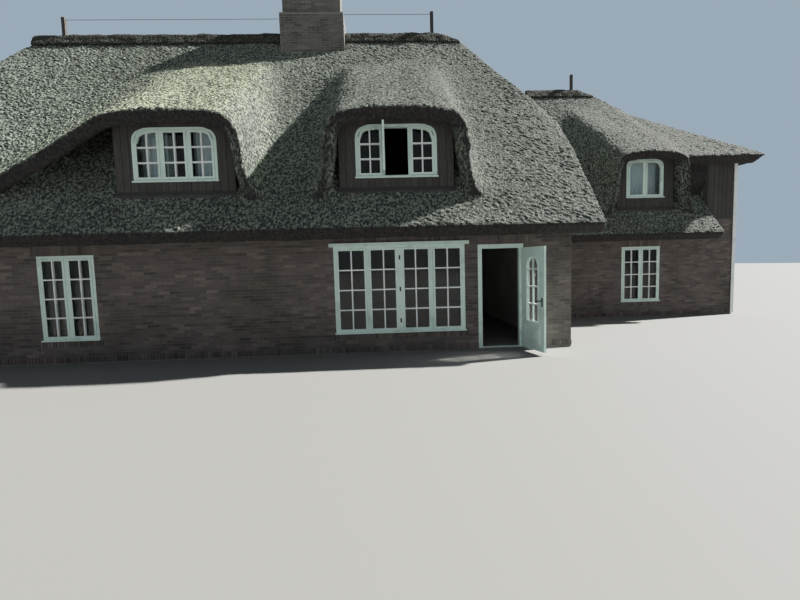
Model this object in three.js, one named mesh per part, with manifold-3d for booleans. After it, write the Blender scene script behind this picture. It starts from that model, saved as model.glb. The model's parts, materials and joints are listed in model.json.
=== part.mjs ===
// A thatched brick cottage: a main range with two dormers to the front and a staggered wing behind it.
// Millimetres, +Z up. The origin is on the ground, at the centre of the main range.
// +X runs to the right along the front, +Y into the house, so the front faces -Y.

import * as THREE from 'three';
import { mergeVertices } from 'three/addons/utils/BufferGeometryUtils.js';
import Module from 'manifold-3d';

const wasm = await Module();
wasm.setup();

// The gap between pieces that touch, and sizes larger than the house for cutting
const GAP = 0.3;
const TALL = 12000;
const REACH = 40000;

// Ground plan and storeys
const WALL = 300;
const HALF_LENGTH = 7450;
const HALF_DEPTH = 4200;
const FLOOR_TOP = 40;
const ATTIC_FLOOR_BOTTOM = 2500;
const ATTIC_FLOOR_TOP = 2700;
const WALL_FOOT = FLOOR_TOP + GAP;
const INNER_X = HALF_LENGTH - WALL;
const INNER_Y = HALF_DEPTH - WALL;

// Thatch of the main range
const THATCH = 300;
const RIDGE_Z = 8350;
const EAVE_Y = 4930;
const EAVE_Z = 2500;
const VERGE_X = 7850;
const RIDGE_END_X = 5890;
const HIP_EAVE_Z = 5060;

// Ridge capping
const CAP_HALF_WIDTH = 310;
const CAP_TOP_Z = 8470;
const CAP_PAST_RIDGE = 60;
const CAP_LIP = { out: 30, up: 90 };
const CAP_SHOULDER = { x: 190, down: 120 };
const CAP_CREST_X = 68;

// Square posts that stand on the capping and carry the lightning conductor
const STAKE_SIDE = 90;
const STAKES = [
  { name: 'ridge_stake_left', x: -5130, y: 0, top: 8950 },
  { name: 'ridge_stake_right', x: 5190, y: 0, top: 9060 },
  { name: 'wing_ridge_stake', x: 11170, y: HALF_DEPTH, top: 9040 },
];

// Chimney stack
const CHIMNEY_X = 1805;
const CHIMNEY_WIDTH = 1750;
const CHIMNEY_FRONT_Y = -458;
const CHIMNEY_DEPTH = 950;
const CHIMNEY_SHOULDER_Z = 8820;
const CHIMNEY_SETBACK = 80;
const CHIMNEY_TOP_Z = 10000;
const CORBELS = [
  { inset: 40, bottom: 330, top: 80 },
  { inset: 0, bottom: 250, top: 150 },
];
const FLUE_SIZE = 300;
const FLUE_DEPTH = 500;
const FLUE_OFFSET = 370;

// Dormers of the main range
const LEFT_DORMER_X = -445;
const RIGHT_DORMER_X = 3890;
const BACK_DORMER_X = 0;
const DORMER_HALF_WIDTH = 1150;
const DORMER_BASE_Z = 3270;
const DORMER_CEILING_Z = 5300;
const DORMER_ROOM = 2000;
const HOOD_OVERHANG = 500;
const HOOD_LIP_Z = 4790;
const HOOD_PITCH = 0.65;
const HOOD_THATCH = 230;
const DORMER_WINDOW = { width: 1630, bottom: 3550, height: 1050, casements: 3, corner: 280 };

// Ground floor windows and the doorway, in the front wall
const BIG_WINDOW = { left: 2560, width: 2670, bottom: 420, height: 1800, casements: 4, corner: 0 };
const LEFT_WINDOW = { left: -3250, width: 1100, bottom: 470, height: 1700, casements: 2, corner: 0 };
const BACK_WINDOW_LEFT = -BIG_WINDOW.left - BIG_WINDOW.width;
const CORNER_WIDTH = 1.25;
const FRAME_CORNER = 0.8;
const FRAME_DEPTH = 100;
const FRAME_FACE = 55;
const MULLION = 50;
const GLASS = 8;
const GLASS_INSET = 50;
const REBATE = 12;
const HEAD_BOARD = { side: 80, height: 70, forward: 70, lap: 20 };
const OPEN_CASEMENT = { thickness: 40, face: 45, clearance: 5, pane: 8, rebate: 5 };

// Front door
const DOORWAY = { left: 5500, right: 6445, top: 2180 };
const JAMB = 85;
const DOOR_CLEARANCE = 5;
const LEAF_THICKNESS = 45;
const DOOR_OPEN_ANGLE = THREE.MathUtils.degToRad(104);
const HINGE_OUT = 16;
const HINGE_PAST_JAMB = 60;
const HINGE_RADIUS = 12;
const HINGE_HEIGHTS = [330, 1120, 1900];
const KNUCKLE = 50;
const HINGE_ARM = 110;
const SILL_RISE = 15;
const LEAF_GAP_BELOW = 25;
const LEAF_GLASS = { bottom: 640, side: 210, straight: 1660, rise: 230 };
const BEAD = 15;
const BEAD_LAP = 8;
const BEAD_DEPTH = 12;
const HANDLE_Z = 1050;
const HANDLE_INSET = 60;
const SPINDLE = 8;
const HANDLE_PLATE = { side: 18, below: 110, above: 60, thickness: 6 };
const LEVER = { length: 110, half: 9, thickness: 16, forward: 44 };

// Wing: the same section, set back by half the depth of the main range
const WING_RIDGE_Y = 4200;
const WING_RIGHT_X = 14430;
const WING_RIDGE_LEFT = 9400;
const WING_RIDGE_RIGHT = 11900;
const RAISED_LEFT_X = 12500;
const RAISED_ROOM_X = 13600;
const RAISED_TOP_Z = 7850;
const RAISED_EAVE_X = 15050;
const RAISED_EAVE_Y = 4600;
const RAISED_EAVE_Z = 4800;
const WING_DORMER_X = 11600;
const WING_DORMER_HALF_WIDTH = 880;
const WING_HOOD_LIP_Z = 4930;
const WING_HOOD_PITCH = 0.66;
const WING_WINDOW = { width: 1150, bottom: 3640, height: 1160, casements: 2, corner: 240 };
const WING_LOWER_WINDOW = { left: 10900, width: 1200, bottom: 470, height: 1700, casements: 2, corner: 0 };

const finish = {
  thatch: new THREE.MeshStandardMaterial({ color: 0x8d8672, roughness: 0.95 }),
  ridge: new THREE.MeshStandardMaterial({ color: 0x3a3529, roughness: 0.95 }),
  brick: new THREE.MeshStandardMaterial({ color: 0x55352c, roughness: 0.9 }),
  chimney: new THREE.MeshStandardMaterial({ color: 0x6e5f55, roughness: 0.9 }),
  boards: new THREE.MeshStandardMaterial({ color: 0x33281f, roughness: 0.85 }),
  paint: new THREE.MeshStandardMaterial({ color: 0xdfe6da, roughness: 0.5 }),
  glass: new THREE.MeshStandardMaterial({ color: 0x9fb0b4, roughness: 0.1 }),
  floor: new THREE.MeshStandardMaterial({ color: 0x9a8d7c, roughness: 0.8 }),
  iron: new THREE.MeshStandardMaterial({ color: 0x1c1c1c, roughness: 0.5, metalness: 0.7 }),
};

const cottage = new THREE.Group();
const placed = {};

// Solids and booleans

function solidFrom(geometry) {
  geometry.deleteAttribute('normal');
  geometry.deleteAttribute('uv');
  const merged = mergeVertices(geometry, 0.01);
  return new wasm.Manifold(new wasm.Mesh({
    numProp: 3,
    vertProperties: Float32Array.from(merged.attributes.position.array),
    triVerts: Uint32Array.from(merged.index.array),
  }));
}

function geometryFrom(solid) {
  const mesh = solid.getMesh();
  const geometry = new THREE.BufferGeometry();
  geometry.setAttribute('position', new THREE.BufferAttribute(Float32Array.from(mesh.vertProperties), 3));
  geometry.setIndex(new THREE.BufferAttribute(Uint32Array.from(mesh.triVerts), 1));
  geometry.computeVertexNormals();
  return geometry;
}

function box(x0, x1, y0, y1, z0, z1) {
  const geometry = new THREE.BoxGeometry(x1 - x0, y1 - y0, z1 - z0);
  geometry.translate((x0 + x1) / 2, (y0 + y1) / 2, (z0 + z1) / 2);
  return solidFrom(geometry);
}

// Everything on the inner side of a plane
function halfSpace(point, normal) {
  const geometry = new THREE.BoxGeometry(2 * REACH, 2 * REACH, REACH);
  geometry.translate(0, 0, -REACH / 2);
  const up = new THREE.Vector3(0, 0, 1);
  geometry.applyQuaternion(new THREE.Quaternion().setFromUnitVectors(up, normal.clone().normalize()));
  geometry.translate(point.x, point.y, point.z);
  return solidFrom(geometry);
}

// An outline in X and Z, extruded from one Y to another
function panel(shape, y0, y1) {
  const options = { depth: y1 - y0, bevelEnabled: false, curveSegments: 6 };
  const geometry = new THREE.ExtrudeGeometry(shape, options);
  geometry.rotateX(Math.PI / 2);
  geometry.translate(0, y1, 0);
  return solidFrom(geometry);
}

function largestPiece(solid) {
  const pieces = solid.decompose();
  return pieces.reduce((best, piece) => (piece.volume() > best.volume() ? piece : best));
}

function add(name, solid, material) {
  const mesh = new THREE.Mesh(geometryFrom(solid), material);
  mesh.name = name;
  cottage.add(mesh);
  placed[name] = solid;
  return mesh;
}

// Roof volumes

const mainSlope = Math.atan2(RIDGE_Z - EAVE_Z, EAVE_Y);
const hipSlope = Math.atan2(RIDGE_Z - HIP_EAVE_Z, VERGE_X - RIDGE_END_X);
const raisedSlope = Math.atan2(RAISED_TOP_Z - RAISED_EAVE_Z, RAISED_EAVE_Y);
const raisedHipSlope = Math.atan2(RIDGE_Z - RAISED_EAVE_Z, RAISED_EAVE_X - WING_RIDGE_RIGHT);

// The space under a pitched surface that passes through a level line, at the ridge height or another
function underSlope(x, y, towards, slope, depth, top = RIDGE_Z) {
  const normal = new THREE.Vector3(towards.x * Math.sin(slope), towards.y * Math.sin(slope), Math.cos(slope));
  const point = new THREE.Vector3(x, y, top).addScaledVector(normal, -depth);
  return halfSpace(point, normal);
}

const FRONT = { x: 0, y: -1 };
const BACK = { x: 0, y: 1 };
const LEFT = { x: -1, y: 0 };
const RIGHT = { x: 1, y: 0 };

function slopesVolume(ridgeY, slope, depth, top = RIDGE_Z) {
  return underSlope(0, ridgeY, FRONT, slope, depth, top)
    .intersect(underSlope(0, ridgeY, BACK, slope, depth, top));
}

function mainVolume(depth) {
  return slopesVolume(0, mainSlope, depth)
    .intersect(underSlope(-RIDGE_END_X, 0, LEFT, hipSlope, depth))
    .intersect(underSlope(RIDGE_END_X, 0, RIGHT, hipSlope, depth));
}

function wingVolume(depth) {
  return slopesVolume(WING_RIDGE_Y, mainSlope, depth)
    .intersect(underSlope(WING_RIDGE_LEFT, 0, LEFT, hipSlope, depth))
    .intersect(underSlope(WING_RIDGE_RIGHT, 0, RIGHT, raisedHipSlope, depth));
}

function raisedVolume(depth) {
  return slopesVolume(WING_RIDGE_Y, raisedSlope, depth, RAISED_TOP_Z)
    .intersect(underSlope(WING_RIDGE_RIGHT, 0, RIGHT, raisedHipSlope, depth));
}

// The thatch ends square to its slope: everything on the house side of that cut
function eaveCut(x, y, z, towards, slope) {
  const run = Math.cos(slope);
  const downhill = new THREE.Vector3(towards.x * run, towards.y * run, -Math.sin(slope));
  return halfSpace(new THREE.Vector3(x, y, z), downhill);
}

// What the cut at the foot of a half-hip takes away, between the two slopes
function hipFoot(x, towards, ridgeY) {
  const uphill = new THREE.Vector3(-towards.x * Math.cos(hipSlope), 0, Math.sin(hipSlope));
  return halfSpace(new THREE.Vector3(x, 0, HIP_EAVE_Z), uphill)
    .intersect(slopesVolume(ridgeY, mainSlope, THATCH));
}

function rangeShell(volume, ridgeY, x0, x1) {
  return volume(0)
    .subtract(volume(THATCH))
    .intersect(box(x0, x1, ridgeY - REACH / 4, ridgeY + REACH / 4, 0, RIDGE_Z + 10))
    .intersect(eaveCut(0, ridgeY - EAVE_Y, EAVE_Z, FRONT, mainSlope))
    .intersect(eaveCut(0, ridgeY + EAVE_Y, EAVE_Z, BACK, mainSlope));
}

const chimneyHole = box(
  CHIMNEY_X - CHIMNEY_WIDTH / 2 - GAP, CHIMNEY_X + CHIMNEY_WIDTH / 2 + GAP,
  CHIMNEY_FRONT_Y - GAP, CHIMNEY_FRONT_Y + CHIMNEY_DEPTH + GAP, 0, REACH / 2,
);

// Dormer hoods: each station across the hood is a crowned top with flanks, lofted from the eave to the ridge

// Half sections as distance from the crest and drop under it, the last one down to the main slope
const steepFlank = {
  section: [[0, 0], [450, 10], [850, 40], [1080, 90], [1240, 190], [1350, 350], [1410, 600], [1430, 950],
    [1480, 1250], [1600, 1550], [1850, 1750]],
  narrow: 0.75,
  flare: 560,
};
const sweptFlank = {
  section: [[0, 0], [450, 10], [850, 40], [1130, 90], [1400, 200], [1900, 470], [2450, 760], [3000, 1020],
    [3700, 1400], [4600, 1750]],
  narrow: 0.52,
  flare: 0,
};
const wingFlank = {
  section: [[0, 0], [400, 10], [700, 40], [900, 90], [1030, 190], [1110, 350], [1150, 600], [1170, 950],
    [1210, 1250], [1320, 1550], [1550, 1750]],
  narrow: 0.75,
  flare: 500,
};
const DEEPEST_DROP = 1750;
const STATIONS = 9;
const FACADE_SLOPE_Z = RIDGE_Z - Math.tan(mainSlope) * HALF_DEPTH;

function flankPoint(flank, index, along, hood, topY) {
  const [reach, drop] = flank.section[index];
  const tipSetback = 300 * (index / (flank.section.length - 1)) ** 3;
  const eaveY = -HOOD_OVERHANG + tipSetback;
  const y = eaveY + (topY - eaveY) * along;
  const crest = hood.lip + hood.pitch * (y + HOOD_OVERHANG);
  const height = crest - (FACADE_SLOPE_Z + Math.tan(mainSlope) * y) + 60;
  const width = reach * (1 + (flank.narrow - 1) * along) + flank.flare * along * (drop / DEEPEST_DROP);
  return { x: width, y, z: crest - drop * height / DEEPEST_DROP };
}

// The outer line across the hood at each station, from one foot over the crest to the other
function hoodLines(hood) {
  const tangent = Math.tan(mainSlope);
  const meetY = (hood.lip + hood.pitch * HOOD_OVERHANG - FACADE_SLOPE_Z) / (tangent - hood.pitch);
  const topY = meetY + 60;
  const lines = [];
  for (let station = 0; station <= STATIONS; station += 1) {
    const along = station / STATIONS;
    const line = [];
    for (let i = hood.left.section.length - 1; i > 0; i -= 1) {
      const point = flankPoint(hood.left, i, along, hood, topY);
      line.push({ ...point, x: -point.x });
    }
    for (let i = 0; i < hood.right.section.length; i += 1) {
      line.push(flankPoint(hood.right, i, along, hood, topY));
    }
    lines.push(line);
  }
  return lines;
}

// The same line moved inwards, square to its run in X and Z, and back in Y
function movedInwards(line, distance, setback) {
  return line.map((point, i) => {
    const before = line[Math.max(i - 1, 0)];
    const after = line[Math.min(i + 1, line.length - 1)];
    const length = Math.hypot(after.x - before.x, after.z - before.z);
    const dx = (after.z - before.z) / length;
    const dz = -(after.x - before.x) / length;
    return { x: point.x + dx * distance, y: point.y + setback, z: point.z + dz * distance };
  });
}

function hoodBetween(hood, outerLines, innerLines) {
  return loft(outerLines.map((outer, i) => {
    const ring = [...outer, ...innerLines[i].reverse()];
    return ring.map((point) => ({ x: point.x + hood.x, y: point.y + hood.y, z: point.z }));
  }));
}

function hoodShell(hood, thickness) {
  const setback = thickness * Math.sin(Math.atan(hood.pitch));
  const outer = hoodLines(hood);
  return hoodBetween(hood, outer, outer.map((line) => movedInwards(line, thickness, setback)));
}

// The hood with everything under it, larger by the gap
function hoodBody(hood) {
  const outer = hoodLines(hood).map((line) => movedInwards(line, -GAP, -GAP));
  return hoodBetween(hood, outer, outer.map((line) => line.map((point) => ({ ...point, z: 0 }))));
}

// A closed skin through rings of equally many points, with flat ends made of the strip between its two halves
function loft(rings) {
  const count = rings[0].length;
  const half = count / 2;
  const positions = rings.flat().flatMap((point) => [point.x, point.y, point.z]);
  const triangles = [];
  for (let ring = 0; ring < rings.length - 1; ring += 1) {
    for (let i = 0; i < count; i += 1) {
      const next = (i + 1) % count;
      const a = ring * count + i;
      const b = ring * count + next;
      triangles.push(a, b, b + count, a, b + count, a + count);
    }
  }
  const last = (rings.length - 1) * count;
  for (let i = 0; i < half - 1; i += 1) {
    const opposite = count - 1 - i;
    triangles.push(i, opposite, opposite - 1, i, opposite - 1, i + 1);
    triangles.push(last + i, last + opposite - 1, last + opposite);
    triangles.push(last + i, last + i + 1, last + opposite - 1);
  }
  const geometry = new THREE.BufferGeometry();
  geometry.setAttribute('position', new THREE.Float32BufferAttribute(positions, 3));
  geometry.setIndex(triangles);
  return solidFrom(geometry);
}

// Windows

function windowOutline(left, right, bottom, top, corner) {
  const shape = new THREE.Shape();
  shape.moveTo(left, bottom);
  shape.lineTo(right, bottom);
  if (corner > 0) {
    shape.lineTo(right, top - corner);
    shape.quadraticCurveTo(right, top, right - CORNER_WIDTH * corner, top);
    shape.lineTo(left + CORNER_WIDTH * corner, top);
    shape.quadraticCurveTo(left, top, left, top - corner);
  } else {
    shape.lineTo(right, top);
    shape.lineTo(left, top);
  }
  shape.closePath();
  return shape;
}

function windowHole(left, window, y0, y1) {
  const top = window.bottom + window.height;
  return panel(windowOutline(left, left + window.width, window.bottom, top, window.corner), y0, y1);
}

// A frame with one light for each casement, standing in a hole with a small gap all round
function windowFrame(left, window, y0, y1) {
  const right = left + window.width;
  const top = window.bottom + window.height;
  const outer = windowOutline(left + GAP, right - GAP, window.bottom + GAP, top - GAP, window.corner);
  let frame = panel(outer, y0, y1);
  for (const light of lights(left, window)) {
    const shape = windowOutline(light.left, light.right, light.bottom, light.top, 0);
    const inside = windowOutline(left + FRAME_FACE, right - FRAME_FACE, light.bottom, light.top,
      window.corner * FRAME_CORNER);
    const hole = panel(shape, y0 - 5, y1 + 5).intersect(panel(inside, y0 - 10, y1 + 10));
    frame = frame.subtract(hole);
  }
  return frame;
}

function lights(left, window) {
  const clear = window.width - 2 * FRAME_FACE - (window.casements - 1) * MULLION;
  const width = clear / window.casements;
  const found = [];
  for (let i = 0; i < window.casements; i += 1) {
    const lightLeft = left + FRAME_FACE + i * (width + MULLION);
    found.push({
      left: lightLeft,
      right: lightLeft + width,
      bottom: window.bottom + FRAME_FACE,
      top: window.bottom + window.height - FRAME_FACE,
    });
  }
  return found;
}

// One sheet of glass behind all the lights, or the slot in the frame that holds it with some room to spare
function glassSheet(left, window, y, spare) {
  const inset = FRAME_FACE - REBATE - spare;
  const outline = windowOutline(left + inset, left + window.width - inset,
    window.bottom + inset, window.bottom + window.height - inset, window.corner * FRAME_CORNER);
  return panel(outline, y - spare, y + GLASS + spare);
}

function addWindow(name, left, window, wallY, facing) {
  const outerY = facing < 0 ? wallY : wallY - FRAME_DEPTH;
  const glassY = wallY - facing * GLASS_INSET;
  const frame = windowFrame(left, window, outerY, outerY + FRAME_DEPTH)
    .subtract(glassSheet(left, window, glassY, GAP));
  add(`${name}_frame`, frame, finish.paint);
  add(`${name}_glass`, glassSheet(left, window, glassY, 0), finish.glass);
}

// Walls stand inside the thatch, so their tops follow its underside

const mainInside = mainVolume(THATCH + GAP);
const wingInside = wingVolume(THATCH + GAP);
const raisedInside = raisedVolume(THATCH + GAP);

function buildMainWalls() {
  const front = box(-HALF_LENGTH, HALF_LENGTH, -HALF_DEPTH, -INNER_Y, WALL_FOOT, TALL).intersect(mainInside);
  let frontWall = front;
  for (const x of [LEFT_DORMER_X, RIGHT_DORMER_X]) {
    frontWall = frontWall.add(dormerSeat(x, -HALF_DEPTH, DORMER_HALF_WIDTH));
  }
  frontWall = frontWall
    .subtract(windowHole(BIG_WINDOW.left, BIG_WINDOW, -HALF_DEPTH - 10, -INNER_Y + 10))
    .subtract(windowHole(LEFT_WINDOW.left, LEFT_WINDOW, -HALF_DEPTH - 10, -INNER_Y + 10));
  const leftPart = box(-TALL, DOORWAY.left, -TALL, TALL, 0, TALL);
  const rightPart = box(DOORWAY.right, TALL, -TALL, TALL, 0, TALL);
  const overPart = box(DOORWAY.left + GAP, DOORWAY.right - GAP, -TALL, TALL, DOORWAY.top, TALL);
  add('front_wall', frontWall.intersect(leftPart), finish.brick);
  add('front_wall_door_pier', frontWall.intersect(rightPart), finish.brick);
  add('front_wall_door_lintel', frontWall.intersect(overPart), finish.brick);
  const back = box(-HALF_LENGTH, HALF_LENGTH, INNER_Y, HALF_DEPTH, WALL_FOOT, TALL)
    .intersect(mainInside)
    .add(dormerSeat(BACK_DORMER_X, INNER_Y, DORMER_HALF_WIDTH))
    .subtract(windowHole(BACK_WINDOW_LEFT, BIG_WINDOW, INNER_Y - 10, HALF_DEPTH + 10));
  add('back_wall', back, finish.brick);
  for (const [name, x0] of [['left_gable_wall', -HALF_LENGTH], ['right_gable_wall', INNER_X]]) {
    const gable = box(x0, x0 + WALL, -INNER_Y + GAP, INNER_Y - GAP, WALL_FOOT, TALL);
    add(name, gable.intersect(mainInside), finish.brick);
  }
}

// The wall head that carries a dormer front
function dormerSeat(x, y, halfWidth) {
  return box(x - halfWidth + GAP, x + halfWidth - GAP, y, y + WALL, ATTIC_FLOOR_BOTTOM, DORMER_BASE_Z);
}

function buildFloors() {
  const main = box(-HALF_LENGTH, HALF_LENGTH, -HALF_DEPTH, HALF_DEPTH, 0, FLOOR_TOP);
  const wing = box(HALF_LENGTH - WALL, WING_RIGHT_X, 0, 2 * WING_RIDGE_Y, 0, FLOOR_TOP);
  add('ground_slab', main.add(wing), finish.floor);
  const attic = box(-INNER_X + GAP, INNER_X - GAP, -INNER_Y + GAP, INNER_Y - GAP,
    ATTIC_FLOOR_BOTTOM, ATTIC_FLOOR_TOP);
  add('attic_floor', attic.subtract(chimneyHole), finish.floor);
  const wingAttic = box(HALF_LENGTH + WALL + GAP, WING_RIGHT_X - WALL - GAP, WALL + GAP,
    2 * WING_RIDGE_Y - WALL - GAP, ATTIC_FLOOR_BOTTOM, ATTIC_FLOOR_TOP);
  add('wing_attic_floor', wingAttic, finish.floor);
}

// The way from the attic into a dormer, cut through the thatch of the slope
function dormerCut(x, y0, y1, halfWidth) {
  return box(x - halfWidth, x + halfWidth, y0, y1, DORMER_BASE_Z - 500, DORMER_CEILING_Z);
}

function buildMainRoof() {
  const frontDormerCut = (x) => dormerCut(x, -HALF_DEPTH - GAP, -HALF_DEPTH + DORMER_ROOM, DORMER_HALF_WIDTH);
  const shell = rangeShell(mainVolume, 0, -VERGE_X, VERGE_X)
    .subtract(hipFoot(VERGE_X, RIGHT, 0))
    .subtract(hipFoot(-VERGE_X, LEFT, 0))
    .subtract(chimneyHole)
    .subtract(wingVolume(-GAP).intersect(box(HALF_LENGTH, REACH / 2, -TALL, TALL, 0, TALL)));
  const front = shell
    .intersect(box(-TALL, TALL, -TALL, -GAP / 2, 0, TALL))
    .subtract(frontDormerCut(LEFT_DORMER_X))
    .subtract(frontDormerCut(RIGHT_DORMER_X));
  const back = shell
    .intersect(box(-TALL, TALL, GAP / 2, TALL, 0, TALL))
    .subtract(dormerCut(BACK_DORMER_X, HALF_DEPTH - DORMER_ROOM, HALF_DEPTH + GAP, DORMER_HALF_WIDTH));
  add('main_roof_front', largestPiece(front), finish.thatch);
  add('main_roof_back', largestPiece(back), finish.thatch);
}

function ridgeCap(x0, x1, ridgeY) {
  const w = CAP_HALF_WIDTH;
  const foot = RIDGE_Z - Math.tan(mainSlope) * w;
  const lift = GAP / Math.cos(mainSlope);
  const shape = new THREE.Shape();
  shape.moveTo(-w, foot + lift);
  shape.lineTo(0, RIDGE_Z + lift);
  shape.lineTo(w, foot + lift);
  shape.lineTo(w + CAP_LIP.out, foot + CAP_LIP.up);
  shape.lineTo(CAP_SHOULDER.x, CAP_TOP_Z - CAP_SHOULDER.down);
  shape.lineTo(CAP_CREST_X, CAP_TOP_Z);
  shape.lineTo(-CAP_CREST_X, CAP_TOP_Z);
  shape.lineTo(-CAP_SHOULDER.x, CAP_TOP_Z - CAP_SHOULDER.down);
  shape.lineTo(-w - CAP_LIP.out, foot + CAP_LIP.up);
  shape.closePath();
  const geometry = new THREE.ExtrudeGeometry(shape, { depth: x1 - x0, bevelEnabled: false });
  geometry.rotateX(Math.PI / 2);
  geometry.rotateZ(Math.PI / 2);
  geometry.translate(x0, ridgeY, 0);
  return solidFrom(geometry);
}

function buildRidgeCaps() {
  const chimneyLeft = CHIMNEY_X - CHIMNEY_WIDTH / 2;
  const chimneyRight = CHIMNEY_X + CHIMNEY_WIDTH / 2;
  const past = CAP_PAST_RIDGE;
  add('ridge_cap_left', ridgeCap(-RIDGE_END_X - past, chimneyLeft - GAP, 0), finish.ridge);
  add('ridge_cap_right', ridgeCap(chimneyRight + GAP, RIDGE_END_X + past, 0), finish.ridge);
  const wingCap = ridgeCap(WING_RIDGE_LEFT - past, WING_RIDGE_RIGHT + past, WING_RIDGE_Y);
  add('wing_ridge_cap', wingCap, finish.ridge);
  const half = STAKE_SIDE / 2;
  for (const stake of STAKES) {
    const { name, x, y, top } = stake;
    add(name, box(x - half, x + half, y - half, y + half, CAP_TOP_Z + GAP, top), finish.boards);
  }
}

// A dormer in the front slope: its hood of thatch and its boarded front with one window
function dormerHood(hood, slopeVolume) {
  return largestPiece(hoodShell(hood, HOOD_THATCH).subtract(slopeVolume));
}

function dormerFront(hood, halfWidth, window) {
  const front = box(hood.x - halfWidth + GAP, hood.x + halfWidth - GAP, hood.y, hood.y + WALL,
    DORMER_BASE_Z + GAP, hood.lip + HOOD_OVERHANG * hood.pitch - 60);
  return largestPiece(front.subtract(hoodShell(hood, HOOD_THATCH + GAP)))
    .subtract(windowHole(hood.x - window.width / 2, window, hood.y - 10, hood.y + WALL + 10));
}

const rightHood = { x: RIGHT_DORMER_X, y: -HALF_DEPTH, lip: HOOD_LIP_Z, pitch: HOOD_PITCH,
  left: steepFlank, right: steepFlank };
const leftHood = { ...rightHood, x: LEFT_DORMER_X, left: sweptFlank };
const backHood = { ...rightHood, x: -BACK_DORMER_X };
const wingHood = { x: WING_DORMER_X, y: 0, lip: WING_HOOD_LIP_Z, pitch: WING_HOOD_PITCH,
  left: wingFlank, right: wingFlank };

function buildDormers() {
  const slopes = slopesVolume(0, mainSlope, -GAP);
  const wingSlopes = slopesVolume(WING_RIDGE_Y, mainSlope, -GAP);
  add('left_dormer_hood', dormerHood(leftHood, slopes), finish.thatch);
  add('right_dormer_hood', dormerHood(rightHood, slopes), finish.thatch);
  add('back_dormer_hood', dormerHood(backHood, slopes), finish.thatch).rotation.z = Math.PI;
  add('wing_dormer_hood', dormerHood(wingHood, wingSlopes), finish.thatch);
  add('left_dormer_front', dormerFront(leftHood, DORMER_HALF_WIDTH, DORMER_WINDOW), finish.boards);
  add('right_dormer_front', dormerFront(rightHood, DORMER_HALF_WIDTH, DORMER_WINDOW), finish.boards);
  const backFront = dormerFront(backHood, DORMER_HALF_WIDTH, DORMER_WINDOW);
  add('back_dormer_front', backFront, finish.boards).rotation.z = Math.PI;
  add('wing_dormer_front', dormerFront(wingHood, WING_DORMER_HALF_WIDTH, WING_WINDOW), finish.boards);
}

function buildWindows() {
  const half = DORMER_WINDOW.width / 2;
  addWindow('left_dormer_window', LEFT_DORMER_X - half, DORMER_WINDOW, -HALF_DEPTH, -1);
  addOpenDormerWindow();
  addWindow('back_dormer_window', BACK_DORMER_X - half, DORMER_WINDOW, HALF_DEPTH, 1);
  addWindow('wing_dormer_window', WING_DORMER_X - WING_WINDOW.width / 2, WING_WINDOW, 0, -1);
  addWindow('big_window', BIG_WINDOW.left, BIG_WINDOW, -HALF_DEPTH, -1);
  addWindow('left_window', LEFT_WINDOW.left, LEFT_WINDOW, -HALF_DEPTH, -1);
  addWindow('back_window', BACK_WINDOW_LEFT, BIG_WINDOW, HALF_DEPTH, 1);
  addWindow('wing_lower_window', WING_LOWER_WINDOW.left, WING_LOWER_WINDOW, 0, -1);
  addHeadBoard('big_window_frame', BIG_WINDOW);
}

// A board over a window, joined to its frame
function addHeadBoard(name, window) {
  const top = window.bottom + window.height;
  const { side, height, forward, lap } = HEAD_BOARD;
  const board = box(window.left - side, window.left + window.width + side,
    -HALF_DEPTH - forward, -HALF_DEPTH - GAP, top - lap, top - lap + height);
  const tie = box(window.left + lap, window.left + window.width - lap, -HALF_DEPTH - lap, -HALF_DEPTH + lap,
    top - lap, top - GAP);
  replaceSolid(name, placed[name].add(board).add(tie));
}

function replaceSolid(name, solid) {
  const mesh = cottage.getObjectByName(name);
  mesh.geometry = geometryFrom(solid);
  placed[name] = solid;
}

// The right dormer's middle casement stands open, square to the window, on its left side
function addOpenDormerWindow() {
  const window = DORMER_WINDOW;
  const left = RIGHT_DORMER_X - window.width / 2;
  const glassY = -HALF_DEPTH + GLASS_INSET;
  const [first, middle, last] = lights(left, window);
  const sides = [['left', first], ['right', last]];
  let frame = windowFrame(left, window, -HALF_DEPTH, -HALF_DEPTH + FRAME_DEPTH);
  for (const [side, light] of sides) {
    const strip = (spare) => box(light.left - REBATE - spare, light.right + REBATE + spare,
      -TALL, 0, 0, TALL);
    frame = frame.subtract(glassSheet(left, window, glassY, GAP).intersect(strip(GAP)));
    const glass = glassSheet(left, window, glassY, 0).intersect(strip(0));
    add(`right_dormer_window_glass_${side}`, glass, finish.glass);
  }
  add('right_dormer_window_frame', frame, finish.paint);
  const { thickness, face, clearance, pane, rebate } = OPEN_CASEMENT;
  const x0 = middle.left - thickness;
  const x1 = middle.left;
  const y0 = -HALF_DEPTH - GAP - (middle.right - middle.left - 2 * clearance);
  const y1 = -HALF_DEPTH - GAP;
  const z0 = middle.bottom + clearance;
  const z1 = middle.top - clearance;
  const sash = box(x0, x1, y0, y1, z0, z1)
    .subtract(box(x0 - 5, x1 + 5, y0 + face, y1 - face, z0 + face, z1 - face));
  const lap = face - rebate;
  const sheet = box((x0 + x1 - pane) / 2, (x0 + x1 + pane) / 2, y0 + lap, y1 - lap, z0 + lap, z1 - lap);
  add('right_dormer_open_casement', sash.add(sheet), finish.paint);
}

// Front door

const LEAF_LEFT = DOORWAY.left + JAMB + DOOR_CLEARANCE;
const LEAF_RIGHT = DOORWAY.right - JAMB - DOOR_CLEARANCE;
const LEAF_BOTTOM = FLOOR_TOP + LEAF_GAP_BELOW;
const LEAF_TOP = DOORWAY.top - JAMB - DOOR_CLEARANCE;
const HANDLE_X = LEAF_LEFT + HANDLE_INSET;
const HINGE = new THREE.Vector3(DOORWAY.right - JAMB + HINGE_PAST_JAMB, -HALF_DEPTH - HINGE_OUT, 0);

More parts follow.
